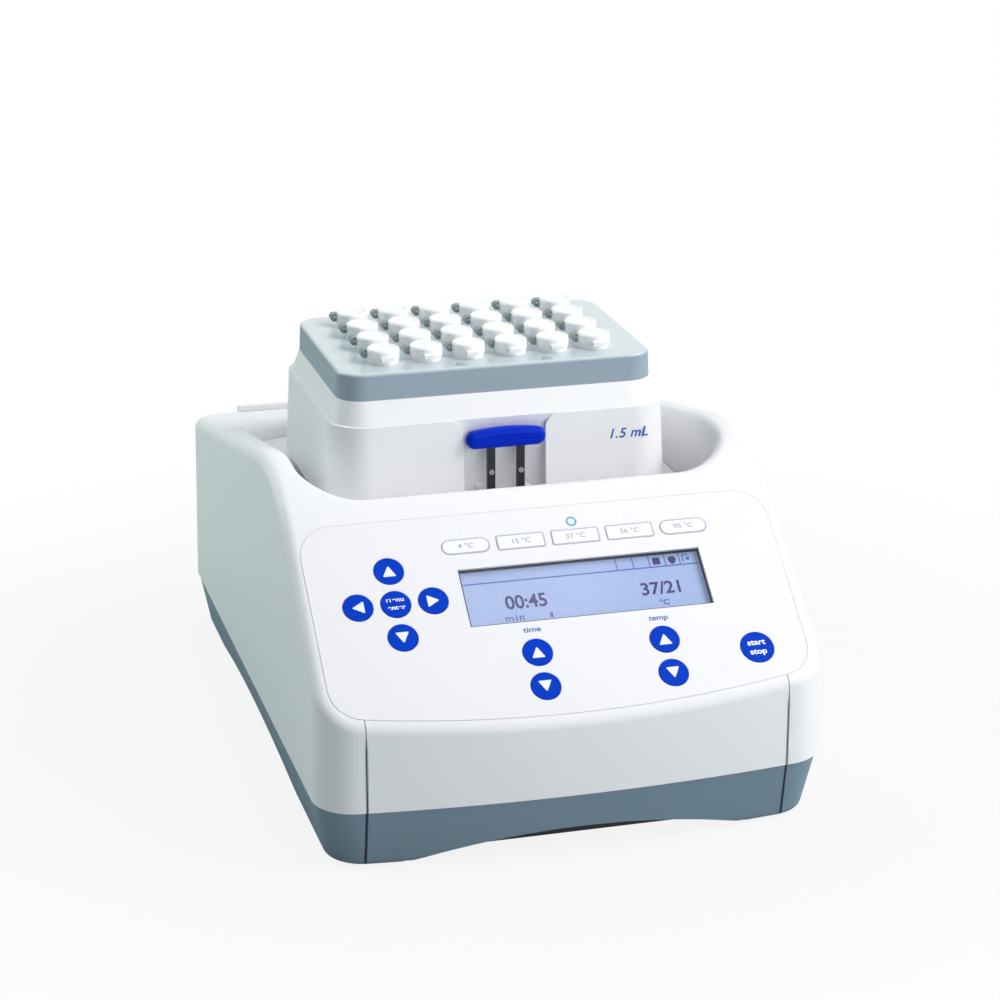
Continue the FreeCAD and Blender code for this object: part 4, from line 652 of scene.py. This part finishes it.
def words(name, text, at, tall, finish, sheet, spacing=1.0, bold=0.0, wide=1.0, slant=0.0):
    """One line of lettering, centred, with capitals as tall as given in millimetres."""
    slot, body, place = sheet
    line = bpy.data.curves.new(name, "FONT")
    line.body = text
    line.size = tall / CAPITALS
    line.align_x = "CENTER"
    line.align_y = "CENTER"
    line.space_character = spacing
    line.shear = slant
    line.offset = bold
    line.extrude = INK
    line.materials.append(finish)
    piece = bpy.data.objects.new(name, line)
    bpy.context.scene.collection.objects.link(piece)
    stretched = Matrix.Diagonal((MM * wide, MM, MM, 1))
    piece.matrix_world = place @ Matrix.Translation(Vector(at) * MM) @ stretched
    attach(piece, body)


KEY_WORDS = (
    ("menu", "nav_enter", NAV_X, NAV_V + 2.0, 1.9, 0.07, 1.2),
    ("enter", "nav_enter", NAV_X, NAV_V - 1.5, 1.9, 0.07, 1.2),
    ("start", "start_stop", START_X, START_V + 2.1, 2.4, 0.1, 1.15),
    ("stop", "start_stop", START_X, START_V - 2.0, 2.4, 0.1, 1.15),
)
for text, key, x, v, tall, bold, wide in KEY_WORDS:
    words("word_" + text, text, (x, v, KEY_TOP), tall, white_ink, on_key(key), bold=bold, wide=wide)
words("word_time", "time", (TIME_X, 41.9, FILM_WORDS), 2.3, blue_ink, FILM, bold=0.06, wide=1.2)
words("word_temp", "temp", (39.3, 41.5, FILM_WORDS), 2.3, blue_ink, FILM, bold=0.06, wide=1.15)
print(len(KEY_WORDS), "words on the keys and two on the film")

# %% [markdown]
# Preset keys. Each is a white bar with a thin outline in pale ink and a temperature. The first
# and the last have round ends, and the print follows its key, so that it goes down through the
# film with it. The outline is a ring: one loop of points and the same loop drawn in by the line.

# %% Preset keys
PRESETS = {1: "4 °C", 2: "15 °C", 3: "37 °C", 4: "56 °C", 5: "95 °C"}
MIDDLE = 3
PRESET_LONG, PRESET_TALL, LINE = 19.3, 6.5, 0.35
END_CORNER, PLAIN_CORNER = 3.25, 0.8


def round_rect(x, v, long, tall, radius, steps=6):
    """A ring of points round a rectangle with round corners."""
    ring = []
    for side_x, side_v, start in ((1, 1, 0), (-1, 1, 90), (-1, -1, 180), (1, -1, 270)):
        for step in range(steps + 1):
            angle = math.radians(start + 90 * step / steps)
            ring.append((x + side_x * (long / 2 - radius) + radius * math.cos(angle),
                         v + side_v * (tall / 2 - radius) + radius * math.sin(angle)))
    return ring


for index, reading in PRESETS.items():
    x = PRESET_X + (index - MIDDLE) * PRESET_PITCH
    corner = END_CORNER if index in (1, 5) else PLAIN_CORNER
    outer = round_rect(x, PRESET_V, PRESET_LONG, PRESET_TALL, corner)
    inner = round_rect(x, PRESET_V, PRESET_LONG - 2 * LINE, PRESET_TALL - 2 * LINE, corner - LINE)
    sheet = on_key(f"preset_{index}")
    add_piece(f"outline_{index}", ring_mesh(outer, inner, KEY_TOP), pale_ink, sheet)
    words(f"reading_{index}", reading, (x, PRESET_V, KEY_TOP), 2.1, faint_ink, sheet,
          bold=0.06, wide=1.15)
print(len(PRESETS), "presets")

# %% [markdown]
# Lights over the presets. Each is a frosted pipe set flush in the film, and hardly shows until it
# is lit. The middle one is on, and a blue ring of light stands round it.

# %% Lights
LIGHT_X, LIGHT_V = PRESET_X - 0.2, 89.1


def circle(x, v, radius, steps=40):
    """A ring of points on a circle."""
    turns = [math.tau * step / steps for step in range(steps)]
    return [(x + radius * math.cos(turn), v + radius * math.sin(turn)) for turn in turns]


glow_ring = ring_mesh(circle(LIGHT_X, LIGHT_V, 2.2), circle(LIGHT_X, LIGHT_V, 1.5), FILM_TOP)
add_piece("light_ring", glow_ring, light_ink, FILM)
print("the middle light is on")

# %% [markdown]
# What the display shows: the time left and two temperatures, and a ruled header with four boxes.
# The dark cells are printed on the display's face, under its window, so the window's gloss passes
# over them as on the real one.

# %% Reading on the display
DISPLAY_FACE, CELLS_ABOVE = -2.6, 0.03
LCD = DISPLAY_FACE + CELLS_ABOVE
RULE_LOW, RULE_HIGH, HEADER_HIGH = 65.8, 66.35, 71.4
DIVIDERS = (29.0, 35.9, 42.7, 49.3, 55.4)
HALF_DIVIDER = 0.2


def rectangle(left, low, right, high):
    """The corners of a rectangle, as a ring of points."""
    return [(left, low), (right, low), (right, high), (left, high)]


def bar(name, left, low, right, high, finish=line_cells):
    """A straight bar of dark cells on the display."""
    add_piece(name, filled_mesh(rectangle(left, low, right, high), LCD), finish, DISPLAY)


bar("header_line", -35.2, RULE_LOW, 63.0, RULE_HIGH)
for index, x in enumerate(DIVIDERS):
    bar(f"header_divider_{index}", x - HALF_DIVIDER, RULE_HIGH, x + HALF_DIVIDER, HEADER_HIGH)
words("display_time", "00:45", (-10.9, 56.0, LCD), 5.9, navy_cells, DISPLAY, bold=0.14, wide=0.92)
words("display_temp", "37/21", (45.1, 56.1, LCD), 5.5, navy_cells, DISPLAY, bold=0.14)
words("display_min", "min", (-17.0, 49.3, LCD), 3.0, line_cells, DISPLAY, spacing=1.2, bold=0.05,
      wide=1.1)
words("display_unit", "°C", (44.6, 49.6, LCD), 2.3, line_cells, DISPLAY, bold=0.08, wide=1.15)
print("display reads 00:45 and 37/21")

# %% [markdown]
# The three icons are a few cells each: a plate seen from above, a drop, and a small branch.
# At this size a shape is only a hint, so they are plain little outlines. A short upright mark
# at the time stands for the running timer.

# %% Icons
DROP_X, DROP_V, DROP_STEPS = 52.3, 68.5, 20


def drop_outline():
    """A drop: a circle that is slimmer towards its point."""
    turns = [math.tau * step / DROP_STEPS for step in range(DROP_STEPS)]
    return [(DROP_X + 1.6 * math.sin(turn) * (1 - 0.3 * math.cos(turn)),
             DROP_V - 1.8 * math.cos(turn)) for turn in turns]


bar("icon_plate", 44.2, 67.1, 47.3, 70.3, navy_cells)
add_piece("icon_drop", filled_mesh(drop_outline(), LCD), navy_cells, DISPLAY)
bar("icon_stem", 56.6, 67.2, 57.1, 70.6)
bar("icon_branch", 56.6, 70.1, 59.2, 70.6)
bar("icon_twig", 58.2, 68.0, 59.6, 69.4)
bar("timer_mark", -2.6, 48.0, -1.5, 50.2)
print("icons done")

# %% [markdown]
# The window's edge. The black frame under the film shows at the top and the right, where the eye
# looks in under it. At the left and below the film hides it, and a fine printed line is left.

# %% Line round the window
outer_edge = rectangle(-36.05, 45.65, 63.6, 71.7)
inner_edge = rectangle(-35.6, 45.9, 63.4, 71.5)
add_piece("window_line", ring_mesh(outer_edge, inner_edge, FILM_TOP), border_ink, FILM)
print("window line printed")

# %% [markdown]
# The block's print: the tube volume in blue at the right of its front, and two small index marks
# on the grey plate that show which way the block goes in. The front of the block leans a little,
# so its matrix stands the print up and tips it back by the same lean.

# %% Marks on the block
PLATE_TOP = 163.5
LEAN_BACK, FRONT_TALL = 1.9, 36.4
FRONT_TURN = math.radians(90) - math.atan2(LEAN_BACK, FRONT_TALL)
BLOCK_FRONT = Matrix.Translation((0, -0.03695, 0.1065)) @ Matrix.Rotation(FRONT_TURN, 4, "X")
INDEX_XS, INDEX_Y = (-15.8, 20.8), -23.0

words("volume_mark", "1.5 mL", (53.0, 25.5, INK), 4.0, blue_ink,
      ("white_plastic", "thermoblock", BLOCK_FRONT), spacing=1.06, bold=0.09, wide=1.05, slant=0.25)
for index, x in enumerate(INDEX_XS):
    ring = rounded_triangle(x, INDEX_Y, 6.6, 6.0, 0.9, 90)
    add_piece(f"index_mark_{index}", filled_mesh(ring, PLATE_TOP), mark_ink, PLATE)
print("the tube volume and", len(INDEX_XS), "index marks")

# %% [markdown]
# Pads under the tubes' hinges. The plate has a small slot under every strap. A flush grey pad
# closes it, because only the strap is to be seen there, and all the pads are one mesh, with a box
# of eight points for each.

# %% Pads over the slots
ROWS, ROW_PITCH = 4, 19.5
COLUMNS, COLUMN_PITCH = 6, 18.1
BLOCK_Y = 18.2
PAD_WIDE, PAD_LONG = 3.3, 4.3


def row_y(row):
    """The middle of a row of tubes, counted from the front."""
    return BLOCK_Y + (row - (ROWS - 1) / 2) * ROW_PITCH


def pads_mesh(centres):
    """Small flat boxes about the given centres, in one mesh."""
    points, faces = [], []
    for x, y in centres:
        base = len(points)
        points += [(x + a * PAD_WIDE / 2, y + b * PAD_LONG / 2, height)
                   for height in (PLATE_TOP, PLATE_TOP + INK)
                   for a, b in ((-1, -1), (1, -1), (1, 1), (-1, 1))]
        faces.append([base + 3, base + 2, base + 1, base])
        faces.append([base + 4, base + 5, base + 6, base + 7])
        for side in range(4):
            after = (side + 1) % 4
            faces.append([base + side, base + after, base + after + 4, base + side + 4])
    return new_mesh(points, faces)


slot_centres = [((column - COLUMNS / 2) * COLUMN_PITCH, row_y(row))
                for row in range(ROWS) for column in range(COLUMNS)]
add_piece("slot_pads", pads_mesh(slot_centres), plate_grey, PLATE)
print(len(slot_centres), "slots closed")

# %% [markdown]
# Hinges of the tubes. A tube's lid hangs on a thin strap at its left, which bulges out when the
# lid is shut. The straps stand in the shade of their lids, and that shade is painted into their
# grey, so they look like small dark squares between them. One outline of a strap seen from the
# front, as thick as the strap is wide, makes each one.

# %% Straps of the tube lids
LID_X = -6.2
BEND_X, BEND_UP, BEND_OUTER, BEND_INNER = -7.8, 3.9, 1.7, 0.6
STRAP_BACK, STRAP_WIDE = 3.4, 3.6


def strap_outline():
    """A strap's side, about the tube's axis and up from the block's plate."""
    outer, inner = [], []
    for turn in range(90, 271, 15):
        across, up = math.cos(math.radians(turn)), math.sin(math.radians(turn))
        outer.append((BEND_X + BEND_OUTER * across, BEND_UP + BEND_OUTER * up))
        inner.append((BEND_X + BEND_INNER * across, BEND_UP + BEND_INNER * up))
    top, bottom = (LID_X, BEND_UP + BEND_OUTER), (LID_X, BEND_UP - BEND_OUTER)
    under, over = (LID_X, BEND_UP - BEND_INNER), (LID_X, BEND_UP + BEND_INNER)
    return [top] + outer + [bottom, under] + inner[::-1] + [over]


# Every strap is given the grey of painted shade.
for row in range(ROWS):
    for column in range(COLUMNS):
        x = (column - (COLUMNS - 1) / 2) * COLUMN_PITCH
        foot = Vector((x, row_y(row) + STRAP_BACK, PLATE_TOP)) * MM
        stand = Matrix.Translation(foot) @ Matrix.Rotation(math.radians(90), 4, "X")
        add_piece(f"hinge_{row + 1}_{column + 1}", filled_mesh(strap_outline(), 0, STRAP_WIDE),
                  hinge_painted_shade, ("tube_plastic", f"tube_row_{row + 1}", stand))
print(ROWS * COLUMNS, "straps")

# %% [markdown]
# The floor is a sheet of white paper. Near the object the camera sees mostly its glow and a
# little of its shade, so that the object stands on something, and further out the paper glows up
# to plain white. Other rays see plain matt paper, which throws its light back under the object.

# %% Floor
FLOOR_REACH = 6
GLOW_NEAR, FADE_START, FADE_END = 0.88, 0.18, 0.42

floor_mesh = bpy.data.meshes.new("floor")
corners = [(x, y, 0) for x, y in rectangle(-FLOOR_REACH, -FLOOR_REACH, FLOOR_REACH, FLOOR_REACH)]
floor_mesh.from_pydata(corners, [], [(0, 1, 2, 3)])
floor = bpy.data.objects.new("floor", floor_mesh)
bpy.context.scene.collection.objects.link(floor)
paper = Finish("paper")
seen = paper.node("LightPath", {}, {}, "Is Camera Ray")
sheet_white = paper.blend(paper.grain(300), screen(202, 209, 210), screen(199, 206, 207))
away = paper.node("VectorMath", {"operation": "LENGTH"}, {0: paper.place}, "Value")
fade = paper.rise(away, FADE_START, FADE_END, "SMOOTHSTEP")
matt = paper.node("BsdfDiffuse", {}, {"Color": sheet_white})
glow = paper.node("Emission", {}, {"Color": (1, 1, 1, 1), "Strength": 1.0})
glowing = seen * (GLOW_NEAR + fade * (1 - GLOW_NEAR))
paper.close(paper.node("MixShader", {}, {0: glowing, 1: matt, 2: glow}))
floor_mesh.materials.append(paper.material)
print("floor", [round(side, 1) for side in floor.dimensions])

# %% [markdown]
# Lamps. One big soft panel high at the right makes every front face run from light to dark, and
# weaker ones stand above, behind at the left, and in front. A narrow soft spot opens up the shaded
# niche of the block's lever, as a photographer does with a snoot.

# %% Lamps


def aim(name, lamp, place, target):
    """Put a lamp on its stand and turn it to a point."""
    stand = bpy.data.objects.new(name, lamp)
    bpy.context.scene.collection.objects.link(stand)
    stand.location = place
    stand.rotation_euler = (Vector(target) - Vector(place)).to_track_quat("-Z", "Y").to_euler()


def soft_panel(name, place, target, side, power, colour):
    """A square lamp that looks at a point."""
    lamp = bpy.data.lights.new(name, "AREA")
    lamp.shape = "SQUARE"
    lamp.size = side
    lamp.energy = power
    lamp.color = colour
    aim(name, lamp, place, target)


soft_panel("key_panel", (1.12, -0.58, 1.18), (0, 0, 0.08), 0.9, 19.5, (1.0, 0.97, 0.985))
soft_panel("top_panel", (0.1, 0.3, 1.9), (0, 0, 0.1), 1.4, 8, (1.0, 0.98, 0.99))
soft_panel("left_panel", (-1.20, 0.90, 0.80), (0, 0, 0.08), 1.0, 11, (0.85, 1.0, 0.95))
soft_panel("front_panel", (0.8, -1.8, 0.6), (0, 0, 0.08), 1.0, 8, (0.97, 1.0, 1.0))

snoot = bpy.data.lights.new("block_snoot", "SPOT")
snoot.energy = 26
snoot.spot_size = math.radians(7.5)
snoot.spot_blend = 1.0
snoot.shadow_soft_size = 0.12
aim("block_snoot", snoot, (0.1, -1.75, 0.75), (0, -0.02, 0.165))
print("four panels and a snoot")

# %% [markdown]
# The sky. The object is lit by a cool, pale sky with a dark flag in it at the front left, which
# keeps the shade on the rounded corner there. The camera and every reflection see a white room.

# %% Sky
COOL = (0.84, 0.99, 1.0, 1.0)
FLAG_TOWARD, FLAG_START, FLAG_END = (-0.78, -0.62, 0), 0.1, 0.8

sky = Finish("sky", bpy.data.worlds)
bpy.context.scene.world = sky.material
to_eye = sky.node("LightPath", {}, {}, "Is Camera Ray")
to_gloss = sky.node("LightPath", {}, {}, "Is Glossy Ray")
toward = sky.node("TexCoord", {}, {}, "Generated")
leftward = sky.node("VectorMath", {"operation": "DOT_PRODUCT"}, {0: toward, 1: FLAG_TOWARD},
                    "Value")
flag = sky.rise(leftward, FLAG_START, FLAG_END, "SMOOTHSTEP")
open_sky = sky.node("Background", {}, {"Color": COOL, "Strength": 0.30})
flagged = sky.node("Background", {}, {"Color": COOL, "Strength": 0.02})
cool = sky.node("MixShader", {}, {0: flag, 1: open_sky, 2: flagged})
white = sky.node("Background", {}, {"Color": (1, 1, 1, 1), "Strength": 1.0})
shown = to_eye.maths("MAXIMUM", to_eye, to_gloss)
sky.close(sky.node("MixShader", {}, {0: shown, 1: cool, 2: white}), "World")
bpy.context.scene.view_settings.view_transform = "Standard"
print("a pale sky and a flag")

# %% [markdown]
